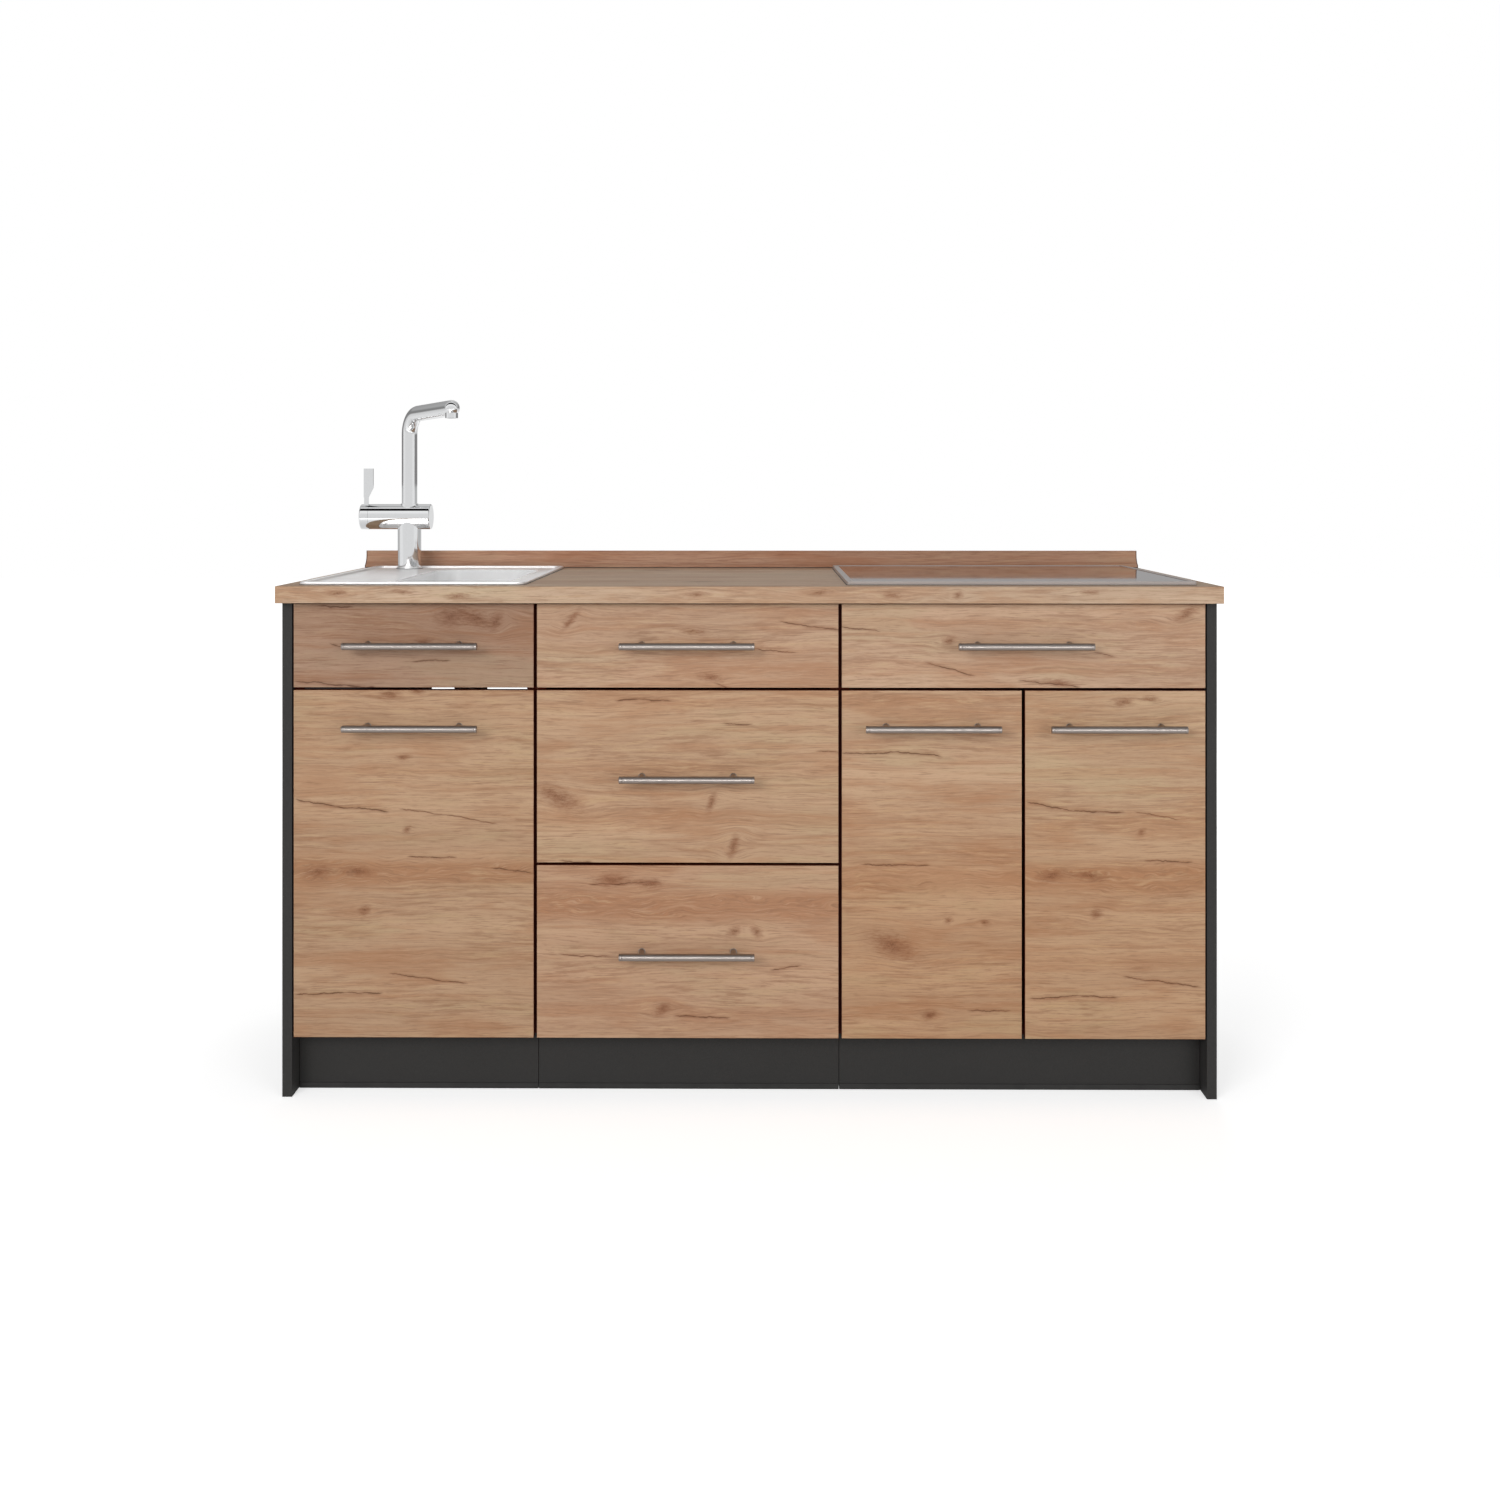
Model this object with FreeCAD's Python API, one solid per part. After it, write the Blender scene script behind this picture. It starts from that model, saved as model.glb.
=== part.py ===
import FreeCAD, Part
import math
import os

# Kitchenette unit: three base cabinets side by side under one worktop, with
# an inset sink and mixer tap on the left and an inset glass hob on the right.
# Millimetres. X runs to the right, Y from the fronts towards the wall, Z up.
# The origin is on the floor, under the middle of the whole unit.

# ---- driving dimensions -----------------------------------------------------
SINK_UNIT_W = 400.0
DRAWER_UNIT_W = 500.0
HOB_UNIT_W = 600.0
HEIGHT = 840.0            # floor to the worktop's upper face
PLINTH_H = 100.0          # floor to the underside of the cabinets
CARCASS_D = 540.0
BOARD_T = 16.0            # chipboard of the carcasses
END_PANEL_T = 16.0
FRONT_T = 16.0
BACK_T = 3.0
BACK_INSET = 15.0         # back panel's rear face, from the carcass's rear edge
GROOVE_D = 6.0
GROOVE_PLAY = 0.3

FRONT_STANDOFF = 2.0      # fronts' rear faces to the carcass

WORKTOP_T = 28.0
WORKTOP_OVERHANG = 20.0   # in front of the fronts
WORKTOP_SIDE = 6.0        # past the end panels
WORKTOP_BACK = 22.0       # carcasses to the wall
WORKTOP_L = (SINK_UNIT_W + DRAWER_UNIT_W + HOB_UNIT_W
             + 2 * (END_PANEL_T + WORKTOP_SIDE))
WORKTOP_D = WORKTOP_OVERHANG + FRONT_T + FRONT_STANDOFF + CARCASS_D + WORKTOP_BACK
WORKTOP_EDGE_R = 1.5

UPSTAND_H = 33.5
UPSTAND_FOOT = 20.0
UPSTAND_TOP = 7.0
UPSTAND_TOE_H = 5.0
UPSTAND_CAP_T = 2.0
UPSTAND_HOLLOW = (0.72, 0.36)   # depth and height shares at the hollow's middle

FRONT_GAP = 5.0           # between neighbouring fronts, side by side
ROW_GAP = 4.0             # between fronts, one above the other
FRONT_UNDER = 2.0         # lowest fronts' edge below the cabinets
FRONT_LOW = PLINTH_H - FRONT_UNDER
FRONT_TOP_PLAY = 2.0      # upper fronts' edge to the worktop
UPPER_ROW_DROP = 141.5    # worktop's underside to the middle of the gap below the row
UPPER_ROW_Z = HEIGHT - WORKTOP_T - UPPER_ROW_DROP
DEEP_FRONTS_DIFFER = 1.5  # bottom drawer's front is this much lower than the middle one
MIDDLE_ROW_Z = (FRONT_LOW + UPPER_ROW_Z - DEEP_FRONTS_DIFFER) / 2
FRONT_EDGE_R = 0.8

HANDLE_L = 220.0
HANDLE_BAR_R = 6.0
HANDLE_AXIS = 32.0        # bar's axis in front of the front's face
HANDLE_POST_R = 5.0
HANDLE_POST_PITCH = 150.0
HANDLE_SCREW_HEAD_R = 4.5
HANDLE_SCREW_HEAD_H = 1.6
UPPER_HANDLE_DROP = 69.0  # below the worktop
DOOR_HANDLE_DROP = 59.5   # below the door's upper edge

PLINTH_T = 16.0
PLINTH_SETBACK = 40.0     # plinth's face behind the fronts' faces
PLINTH_TOP_PLAY = 3.0
PLINTH_SEAM = 1.0
SEAL_H = 9.0
SEAL_WALL = 1.2
SEAL_FLOOR_T = 2.0

FOOT_BASE_R = 30.0
FOOT_BASE_H = 8.0
FOOT_STEM_R = 14.0
FOOT_SOCKET_R = 26.0
FOOT_SOCKET_H = 16.0
FOOT_FROM_SIDE = 50.0
FOOT_REAR_FROM_BACK = 47.0
CLIP_W = 24.0
CLIP_H = 20.0
CLIP_Z = 46.0
CLIP_PLAY = 1.0           # foot's base to the plinth's seal

FLAT_RAIL_D = 100.0
EDGE_RAIL_H = 100.0
HOB_FRONT_RAIL_H = 28.0
SHELF_DROP = 290.5        # gap under the upper row to the shelf's underside
SHELF_Z = UPPER_ROW_Z - SHELF_DROP
SHELF_SET_IN = 30.0
SHELF_PLAY = 0.5
PIN_R = 2.5
PIN_OUT = 8.0

HINGE_CUP_R = 17.5
HINGE_CUP_D = 12.0
HINGE_CUP_WALL = 1.5
HINGE_CUP_FROM_EDGE = 22.5
HINGE_CUP_PLAY = 0.1
HINGE_FLANGE_W = 34.0
HINGE_FLANGE_H = 56.0
HINGE_FLANGE_T = 1.2
HINGE_FROM_END = 80.0
HINGE_ARM_W = 12.0
HINGE_ARM_H = 15.0
HINGE_ARM_L = 66.0
HINGE_PLATE_T = 2.5
HINGE_PLATE_L = 50.0
HINGE_PLATE_H = 52.0
HINGE_PLATE_BACK = 18.0
HINGE_PLAY = 0.3

DRAWER_BACK_ROOM = 90.0
DRAWER_L = CARCASS_D - DRAWER_BACK_ROOM
DRAWER_SIDE_T = 1.5
DRAWER_BASE_T = 16.0
DRAWER_BASE_PLAY = 0.2
RUNNER_W = 12.5           # side play between cabinet and drawer on each side
RUNNER_T = 1.2
RUNNER_H = 26.0
RUNNER_L = DRAWER_L
RUNNER_LEDGE_SHORT = 1.0  # ledge's edge to the drawer side
ROLLER_R = 9.5
ROLLER_W = 7.5
ROLLER_FROM_DRAWER = 1.5
ROLLER_SLOT_PLAY = 1.0
ROLLER_PLAY = 0.3
ROLLER_AXLE_R = 3.0
ROLLER_FROM_END = 15.0
TRACK_LIP = 4.0
BASE_FLANGE_W = 14.0
DRAWER_ABOVE_GAP = 19.5   # gap between the fronts to the drawer base
SMALL_DRAWER_Z = UPPER_ROW_Z + DRAWER_ABOVE_GAP
SMALL_DRAWER_H = 78.0
HOB_DRAWER_H = 68.0
MIDDLE_DRAWER_Z = MIDDLE_ROW_Z + DRAWER_ABOVE_GAP
BOTTOM_DRAWER_UP = 24.0   # cabinet's underside to the drawer base
BOTTOM_DRAWER_Z = PLINTH_H + BOTTOM_DRAWER_UP
DEEP_DRAWER_H = 140.0

SINK_LEFT = 27.0          # worktop's left end to the sink's edge
SINK_FRONT = 35.0         # worktop's front edge to the sink's edge
SINK_BACK = 40.0          # sink's edge to the worktop's rear edge
SINK_NARROWER = 25.0      # than its cabinet
SINK_W = SINK_UNIT_W - SINK_NARROWER
SINK_D = WORKTOP_D - SINK_FRONT - SINK_BACK
SINK_CORNER_R = 14.0
SINK_RIM_H = 5.0
SINK_RIM_W = 10.0
SINK_RECESS = 3.4         # flat deck below the rim's top
SINK_SHEET = 1.0
SINK_RIM_WALL = 2.0       # from the deck's edge to the hollow below it
SINK_LIP_REST = 13.0      # rim's bearing on the worktop
BOWL_FROM_LEFT = 141.0
BOWL_FROM_RIGHT = 34.0
BOWL_FROM_FRONT = 43.0
BOWL_FROM_BACK = 77.0
BOWL_W = SINK_W - BOWL_FROM_LEFT - BOWL_FROM_RIGHT
BOWL_D = SINK_D - BOWL_FROM_FRONT - BOWL_FROM_BACK
BOWL_DEPTH = 150.0
BOWL_CORNER_R = 45.0
BOWL_FLOOR_R = 22.0
BOWL_FIT = 0.05

WASTE_R = 42.0
WASTE_FLANGE_R = 56.0
WASTE_FLANGE_T = 1.2
WASTE_WALL = 2.0
WASTE_CUP_H = 34.0
WASTE_OUTLET_R = 20.0
WASTE_OUTLET_H = 30.0
WASTE_HOLE_PLAY = 0.1
WASTE_NUT_R = 50.0
WASTE_NUT_H = 12.0
BASKET_PLAY = 0.4
BASKET_T = 1.2
BASKET_H = 24.0
BASKET_KNOB_R = 6.0
BASKET_KNOB_H = 14.0
BASKET_LIP = 4.0
BASKET_HOLE_R = 2.2
BASKET_HOLE_RINGS = ((13.0, 6), (22.0, 10), (31.0, 14))
TRAP_PIPE_R = 20.0
TRAP_PIPE_WALL = 2.0
TRAP_BOTTLE_R = 36.0
TRAP_BOTTLE_H = 120.0
TRAP_DROP = 90.0          # waste outlet to the bottle's shoulder
TRAP_OUTLET_DROP = 26.0   # bottle's top to the outlet pipe's axis
TRAP_BRANCH_R = 25.0      # collar on the outlet pipe where it leaves the bottle
TRAP_BRANCH_L = 60.0      # bottle's axis to the collar's face
TRAP_NUT_R = 28.0
TRAP_NUT_H = 18.0
TRAP_DIP_UP = 30.0        # bottle's foot to the dip tube
SERVICE_SIDE = 70.0       # opening in the sink cabinet's back panel, from the sides
SERVICE_W = SINK_UNIT_W - 2 * SERVICE_SIDE
SERVICE_H = 330.0
SERVICE_DROP = 102.0      # worktop's underside to the opening
SERVICE_Z = HEIGHT - WORKTOP_T - SERVICE_DROP - SERVICE_H

TAP_FROM_LEFT = 76.0      # sink's left edge to the tap's axis
TAP_FROM_BACK = 40.0      # sink's rear edge to the tap's axis
TAP_FOOT_R = 25.0
TAP_FOOT_H = 3.0
TAP_BODY_R = 22.8
TAP_AXIS_H = 103.0        # worktop to the horizontal body's axis
TAP_BARREL_R = 24.8
TAP_LEFT = 94.0           # tap's axis to the lever cap's end face
TAP_RIGHT = 42.7
TAP_CAP_L = 17.0
TAP_EDGE_R = 2.0
TAP_COLLAR_H = 1.0        # above the barrel
TAP_GAP = 0.3
TAP_COLLAR_R = 17.0
TAP_SOCKET_R = 12.0
TAP_SOCKET_D = 16.0
TAP_FIT = 0.05
TAP_SPINDLE_R = 7.0
TAP_SPINDLE_L = 18.0
TAP_SHANK_R = 16.0
TAP_SHANK_L = 52.0
TAP_HOLE_R = 17.5
TAP_NUT_R = 21.0
TAP_NUT_H = 10.0
TAP_WASHER_R = 21.0
TAP_TAIL_R = 5.0
TAP_TAIL_L = 38.0
TAP_TAIL_OFFSET = 7.5
TAP_TAIL_IN = 12.0        # tails' length inside the shank
TAP_WASHER_T = 14.0
TAP_WASHER_PLAY = 0.2
TAP_NUT_PLAY = 0.1
TAP_WALL = 3.0
TAP_WATERWAY_UP = 40.0
TAP_SPINDLE_END = 1.0     # spindle's end to the bottom of its hole

LEVER_PIVOT_UP = 14.0     # cap's axis to the lever's pin
LEVER_PIVOT_IN = 9.5      # cap's end face to the lever's pin
LEVER_PIN_R = 1.5
LEVER_STEM_W = 8.0
LEVER_STEM_T = 7.0
LEVER_SLOT_PLAY = 0.4
LEVER_SLOT_BELOW = 2.2
LEVER_SLOT_WALL = 1.6     # slot to the cap's rear face
LEVER_PIN_IN = 3.0        # pin's bearing in the cap on each side
LEVER_TOP = 94.5          # cap's axis to the paddle's upper edge
LEVER_NECK_TOP = 41.0     # cap's axis to the start of the paddle
LEVER_NECK_LAP = 3.0
LEVER_FLARE_TOP = 57.0
LEVER_LEFT_IN = 4.5       # cap's end face to the paddle's straight edge
LEVER_PADDLE_W = 18.5
LEVER_PADDLE_T = 5.0

SPOUT_R = 15.0
SPOUT_WALL = 1.6
SPOUT_SEAT_T = 3.0
SPOUT_TAIL_WALL = 2.0
SPOUT_TAIL_END = 1.0      # tail's end to the bottom of its socket
SPOUT_AXIS_H = 306.0      # worktop to the spout's axis at its bend
SPOUT_BEND_R = 40.0
SPOUT_REACH = 172.0
SPOUT_RISE_DEG = 2.2
SPOUT_TURN_DEG = -50.7    # spout's direction, from +X
AERATOR_R = 12.0
AERATOR_BORE_R = 8.5
AERATOR_OUT = 4.0
AERATOR_IN = 7.0
AERATOR_MESH_UP = 2.0
AERATOR_MESH_T = 1.5

HOB_FRONT = 35.0          # worktop's front edge to the hob's edge
HOB_BACK = 45.0           # hob's edge to the worktop's rear edge
HOB_NARROWER = 24.0       # than its cabinet
HOB_W = HOB_UNIT_W - HOB_NARROWER
HOB_D = WORKTOP_D - HOB_FRONT - HOB_BACK
HOB_FRAME_W = 10.0
HOB_FRAME_H = 6.4
HOB_FRAME_LIP = 8.0
HOB_FRAME_FLOOR = 1.8
HOB_GLASS_T = 4.0
HOB_GLASS_PLAY = 0.2
HOB_CORNER_R = 5.0
HOB_EDGE_R = 1.2
HOB_REST_SIDE = 8.0       # frame's bearing on the worktop, left and right
HOB_REST_END = 15.0       # and front and rear
HOB_CUT_W = HOB_W - 2 * HOB_REST_SIDE
HOB_CUT_D = HOB_D - 2 * HOB_REST_END
HOB_CASE_SIDE_PLAY = 12.0
HOB_CASE_END_PLAY = 8.0
HOB_CASE_W = HOB_CUT_W - 2 * HOB_CASE_SIDE_PLAY
HOB_CASE_D = HOB_CUT_D - 2 * HOB_CASE_END_PLAY
HOB_CASE_T = 1.2
HOB_CASE_BOTTOM = 45.5    # worktop's upper face down to the case's underside
HOB_CASE_PLAY = 0.2
ZONE_ROOM = 54.0          # case's depth left over beside two large zones
LARGE_ZONE_R = (HOB_CASE_D - ZONE_ROOM) / 4
ZONE_STEP = 15.0          # middle zone's radius less than the large one's
SMALL_ZONE_STEP = 17.5    # and the small one's less than the middle one's
MIDDLE_ZONE_R = LARGE_ZONE_R - ZONE_STEP
SMALL_ZONE_R = MIDDLE_ZONE_R - SMALL_ZONE_STEP
ZONE_FROM_SIDE = 33.0
ZONE_FROM_MIDDLE = 7.0
ZONE_DX = HOB_CASE_W / 2 - LARGE_ZONE_R - ZONE_FROM_SIDE
ZONE_DY = LARGE_ZONE_R + ZONE_FROM_MIDDLE
ZONE_H = 27.0
ZONE_PLAY = 0.3
ZONE_FOOT_R = 12.0
LEAF_T = 1.5
LEAF_L = 30.0
LEAF_H = 15.0
LEAF_TOP = 5.0
SINK_LEAF_REACH = 14.0
SINK_LEAF_SHARES = (0.3, 0.7)
SPACER_W = 30.0           # packing behind the fixed front
SPACER_FROM_RAIL_EDGE = 10.0
SPACER_SHARE = 0.2        # of the cabinet's width, from its sides

THROUGH = 1.0             # how far a cut runs past the surface it opens

# ---- places worked out from them --------------------------------------------
X_LEFT = -(SINK_UNIT_W + DRAWER_UNIT_W + HOB_UNIT_W) / 2
SINK_X = (X_LEFT, X_LEFT + SINK_UNIT_W)
DRAWER_X = (SINK_X[1], SINK_X[1] + DRAWER_UNIT_W)
HOB_X = (DRAWER_X[1], DRAWER_X[1] + HOB_UNIT_W)
UNITS = (SINK_X, DRAWER_X, HOB_X)

HANDLE_OUT = HANDLE_AXIS + HANDLE_BAR_R
Y_FACE = -(WORKTOP_D - WORKTOP_OVERHANG + HANDLE_OUT) / 2 + HANDLE_OUT
Y_REAR_FACE = Y_FACE + FRONT_T                 # rear faces of the fronts
Y_CARCASS = Y_REAR_FACE + FRONT_STANDOFF
Y_CARCASS_BACK = Y_CARCASS + CARCASS_D
Y_BACK_PANEL = Y_CARCASS_BACK - BACK_INSET - BACK_T
Y_TOP_FRONT = Y_FACE - WORKTOP_OVERHANG
Y_TOP_BACK = Y_TOP_FRONT + WORKTOP_D
Y_PLINTH = Y_FACE + PLINTH_SETBACK

Z_UNDER_TOP = HEIGHT - WORKTOP_T
Z_UPPER_HANDLE = Z_UNDER_TOP - UPPER_HANDLE_DROP
Z_FLOOR_BOARD = PLINTH_H + BOARD_T

SINK_X0 = -WORKTOP_L / 2 + SINK_LEFT
SINK_Y0 = Y_TOP_FRONT + SINK_FRONT
SINK_X1 = SINK_X0 + SINK_W
SINK_Y1 = SINK_Y0 + SINK_D
Z_DECK = HEIGHT + SINK_RIM_H - SINK_RECESS
BOWL_X1 = SINK_X1 - BOWL_FROM_RIGHT
BOWL_X0 = BOWL_X1 - BOWL_W
BOWL_Y0 = SINK_Y0 + BOWL_FROM_FRONT
BOWL_Y1 = BOWL_Y0 + BOWL_D
Z_BOWL = Z_DECK - BOWL_DEPTH                   # underside of the bowl
WASTE_X = (BOWL_X0 + BOWL_X1) / 2
WASTE_Y = (BOWL_Y0 + BOWL_Y1) / 2
TAP_X = SINK_X0 + TAP_FROM_LEFT
TAP_Y = SINK_Y1 - TAP_FROM_BACK
Z_TAP_AXIS = HEIGHT + TAP_AXIS_H
CAP_X0 = TAP_X - TAP_LEFT
CAP_X1 = CAP_X0 + TAP_CAP_L
BARREL_X0 = CAP_X1 + TAP_GAP
Z_COLLAR = Z_TAP_AXIS + TAP_BARREL_R + TAP_COLLAR_H

HOB_XC = (HOB_X[0] + HOB_X[1]) / 2
HOB_Y0 = Y_TOP_FRONT + HOB_FRONT
HOB_YC = HOB_Y0 + HOB_D / 2
Z_GLASS = HEIGHT + HOB_FRAME_FLOOR

UP = FreeCAD.Vector(0, 0, 1)
ALONG_X = FreeCAD.Vector(1, 0, 0)
ALONG_Y = FreeCAD.Vector(0, 1, 0)


# ---- shapes -----------------------------------------------------------------
def vec(x, y, z):
    return FreeCAD.Vector(x, y, z)


def block(x0, x1, y0, y1, z0, z1):
    return Part.makeBox(x1 - x0, y1 - y0, z1 - z0, vec(x0, y0, z0))


def rod(r, start, length, axis=UP):
    return Part.makeCylinder(r, length, start, axis)


def tube(r_out, r_in, start, length, axis=UP):
    return rod(r_out, start, length, axis).cut(rod(r_in, start, length, axis))


def rounded_block(x0, x1, y0, y1, z0, z1, r):
    """A block whose four upright edges are round."""
    body = block(x0, x1, y0, y1, z0, z1)
    upright = [e for e in body.Edges
               if abs(e.BoundBox.XLength) < 1e-6 and abs(e.BoundBox.YLength) < 1e-6]
    return body.makeFillet(r, upright)


def profile(points, axis_from, extrude):
    """A closed outline of (points) pushed along a vector."""
    pts = [axis_from + p for p in points]
    face = Part.Face(Part.makePolygon(pts + [pts[0]]))
    return face.extrude(extrude)


def save(name, *solids):
    flat = []
    for item in solids:
        flat.extend(item.Solids)
    shape = flat[0] if len(flat) == 1 else Part.makeCompound(flat)
    shape.exportStep("parts/" + name + ".step")
    print(name, len(flat), [round(v, 1) for v in (
        shape.BoundBox.XMin, shape.BoundBox.XMax, shape.BoundBox.YMin,
        shape.BoundBox.YMax, shape.BoundBox.ZMin, shape.BoundBox.ZMax)])


# ---- carcasses --------------------------------------------------------------
def side_board(x0, inner_is_right):
    """A cabinet side with the groove that holds the back panel."""
    board = block(x0, x0 + BOARD_T, Y_CARCASS, Y_CARCASS_BACK, PLINTH_H, Z_UNDER_TOP)
    g0 = x0 + BOARD_T - GROOVE_D if inner_is_right else x0
    groove = block(g0, g0 + GROOVE_D, Y_BACK_PANEL, Y_BACK_PANEL + BACK_T,
                   PLINTH_H, Z_UNDER_TOP)
    return board.cut(groove)


def make_carcasses():
    sides = []
    floors = []
    backs = []
    for x0, x1 in UNITS:
        sides += [side_board(x0, True), side_board(x1 - BOARD_T, False)]
        floors.append(block(x0 + BOARD_T, x1 - BOARD_T, Y_CARCASS, Y_BACK_PANEL,
                            PLINTH_H, Z_FLOOR_BOARD))
        reach = BOARD_T - GROOVE_D + GROOVE_PLAY
        backs.append(block(x0 + reach, x1 - reach, Y_BACK_PANEL, Y_BACK_PANEL + BACK_T,
                           PLINTH_H, Z_UNDER_TOP))
    service_x = WASTE_X - SERVICE_W / 2
    backs[0] = backs[0].cut(block(service_x, service_x + SERVICE_W, Y_BACK_PANEL,
                                  Y_BACK_PANEL + BACK_T, SERVICE_Z, SERVICE_Z + SERVICE_H))
    save("unit_sides", *sides)
    save("unit_floors", *floors)
    save("back_panels", *backs)


def rail(unit, y0, depth, height):
    return block(unit[0] + BOARD_T, unit[1] - BOARD_T, y0, y0 + depth,
                 Z_UNDER_TOP - height, Z_UNDER_TOP)


def make_top_rails():
    """Flat rails in the drawer cabinet, rails on edge beside sink and hob."""
    save("top_rails",
         rail(SINK_X, Y_CARCASS, BOARD_T, EDGE_RAIL_H),
         rail(SINK_X, Y_BACK_PANEL - BOARD_T, BOARD_T, EDGE_RAIL_H),
         rail(DRAWER_X, Y_CARCASS, FLAT_RAIL_D, BOARD_T),
         rail(DRAWER_X, Y_BACK_PANEL - FLAT_RAIL_D, FLAT_RAIL_D, BOARD_T),
         rail(HOB_X, Y_CARCASS, BOARD_T, HOB_FRONT_RAIL_H),
         rail(HOB_X, Y_BACK_PANEL - BOARD_T, BOARD_T, EDGE_RAIL_H))


def make_end_panels():
    for name, x0 in (("end_panel_left", SINK_X[0] - END_PANEL_T),
                     ("end_panel_right", HOB_X[1])):
        save(name, block(x0, x0 + END_PANEL_T, Y_FACE, Y_TOP_BACK, 0, Z_UNDER_TOP))


def make_shelf():
    save("hob_unit_shelf", block(
        HOB_X[0] + BOARD_T + SHELF_PLAY, HOB_X[1] - BOARD_T - SHELF_PLAY,
        Y_CARCASS + SHELF_SET_IN, Y_BACK_PANEL - SHELF_PLAY, SHELF_Z, SHELF_Z + BOARD_T))


def shelf_pins():
    pins = []
    for y in (Y_CARCASS + 2 * SHELF_SET_IN, Y_BACK_PANEL - 2 * SHELF_SET_IN):
        z = SHELF_Z - PIN_R
        pins.append(rod(PIN_R, vec(HOB_X[0] + BOARD_T, y, z), PIN_OUT, ALONG_X))
        pins.append(rod(PIN_R, vec(HOB_X[1] - BOARD_T - PIN_OUT, y, z), PIN_OUT, ALONG_X))
    return pins


# ---- feet and plinth --------------------------------------------------------
def foot(x, y):
    stem_h = PLINTH_H - FOOT_BASE_H - FOOT_SOCKET_H
    return rod(FOOT_BASE_R, vec(x, y, 0), FOOT_BASE_H).fuse([
        rod(FOOT_STEM_R, vec(x, y, FOOT_BASE_H), stem_h),
        rod(FOOT_SOCKET_R, vec(x, y, PLINTH_H - FOOT_SOCKET_H), FOOT_SOCKET_H)])


def make_feet():
    """Screw feet; each front foot carries a clip that holds the plinth."""
    solids = []
    y_clip = Y_PLINTH + PLINTH_T
    y_front = y_clip + SEAL_WALL + CLIP_PLAY + FOOT_BASE_R
    y_rear = Y_CARCASS_BACK - FOOT_REAR_FROM_BACK
    for x0, x1 in UNITS:
        for x in (x0 + FOOT_FROM_SIDE, x1 - FOOT_FROM_SIDE):
            front = foot(x, y_front)
            clip = block(x - CLIP_W / 2, x + CLIP_W / 2, y_clip, y_front, CLIP_Z, CLIP_Z + CLIP_H)
            solids += [front, clip.cut(front), foot(x, y_rear)]
    save("levelling_feet", *solids)


def make_plinth():
    ends = {"plinth_left": (SINK_X[0] + PLINTH_SEAM, SINK_X[1] - PLINTH_SEAM / 2),
            "plinth_middle": (DRAWER_X[0] + PLINTH_SEAM / 2, DRAWER_X[1] - PLINTH_SEAM / 2),
            "plinth_right": (HOB_X[0] + PLINTH_SEAM / 2, HOB_X[1] - PLINTH_SEAM)}
    seals = []
    for name, (x0, x1) in ends.items():
        board = block(x0, x1, Y_PLINTH, Y_PLINTH + PLINTH_T,
                      SEAL_FLOOR_T, PLINTH_H - PLINTH_TOP_PLAY)
        save(name, board)
        seals.append(block(x0, x1, Y_PLINTH - SEAL_WALL, Y_PLINTH + PLINTH_T + SEAL_WALL,
                           0, SEAL_H).cut(board))
    save("plinth_seal", *seals)


# ---- worktop and upstand ----------------------------------------------------
def make_worktop():
    half = WORKTOP_L / 2
    top = block(-half, half, Y_TOP_FRONT, Y_TOP_BACK, Z_UNDER_TOP, HEIGHT)
    front = [e for e in top.Edges if e.BoundBox.XLength > 1 and e.BoundBox.YMax < 0]
    top = top.makeFillet(WORKTOP_EDGE_R, front)
    rest = SINK_LIP_REST
    sink_cut = rounded_block(SINK_X0 + rest, SINK_X1 - rest, SINK_Y0 + rest, SINK_Y1 - rest,
                             Z_UNDER_TOP, HEIGHT, SINK_CORNER_R)
    hob_cut = block(HOB_XC - HOB_CUT_W / 2, HOB_XC + HOB_CUT_W / 2,
                    HOB_YC - HOB_CUT_D / 2, HOB_YC + HOB_CUT_D / 2, Z_UNDER_TOP, HEIGHT)
    save("worktop", top.cut(sink_cut).cut(hob_cut))


def upstand_piece(x0, length):
    """Wall strip: flared foot, hollow front and a square top."""
    y_foot = Y_TOP_BACK - UPSTAND_FOOT
    y_top = Y_TOP_BACK - UPSTAND_TOP
    z_toe = HEIGHT + UPSTAND_TOE_H
    z_top = HEIGHT + UPSTAND_H
    toe = vec(x0, y_foot, z_toe)
    crown = vec(x0, y_top, z_top - UPSTAND_TOE_H)
    hollow = vec(x0, y_foot + UPSTAND_HOLLOW[0] * (y_top - y_foot),
                 z_toe + UPSTAND_HOLLOW[1] * (crown.z - toe.z))
    edges = [Part.LineSegment(vec(x0, Y_TOP_BACK, HEIGHT), vec(x0, y_foot, HEIGHT)).toShape(),
             Part.LineSegment(vec(x0, y_foot, HEIGHT), toe).toShape(),
             Part.Arc(toe, hollow, crown).toShape(),
             Part.LineSegment(crown, vec(x0, y_top, z_top)).toShape(),
             Part.LineSegment(vec(x0, y_top, z_top), vec(x0, Y_TOP_BACK, z_top)).toShape(),
             Part.LineSegment(vec(x0, Y_TOP_BACK, z_top), vec(x0, Y_TOP_BACK, HEIGHT)).toShape()]
    return Part.Face(Part.Wire(edges)).extrude(vec(length, 0, 0))


def make_upstand():
    half = WORKTOP_L / 2
    save("upstand", upstand_piece(-half + UPSTAND_CAP_T, WORKTOP_L - 2 * UPSTAND_CAP_T))
    save("upstand_end_caps", upstand_piece(-half, UPSTAND_CAP_T),
         upstand_piece(half - UPSTAND_CAP_T, UPSTAND_CAP_T))


# ---- fronts and handles -----------------------------------------------------
def front_board(x0, x1, z0, z1):
    board = block(x0, x1, Y_FACE, Y_REAR_FACE, z0, z1)
    return board.makeFillet(FRONT_EDGE_R, board.Edges)


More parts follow.
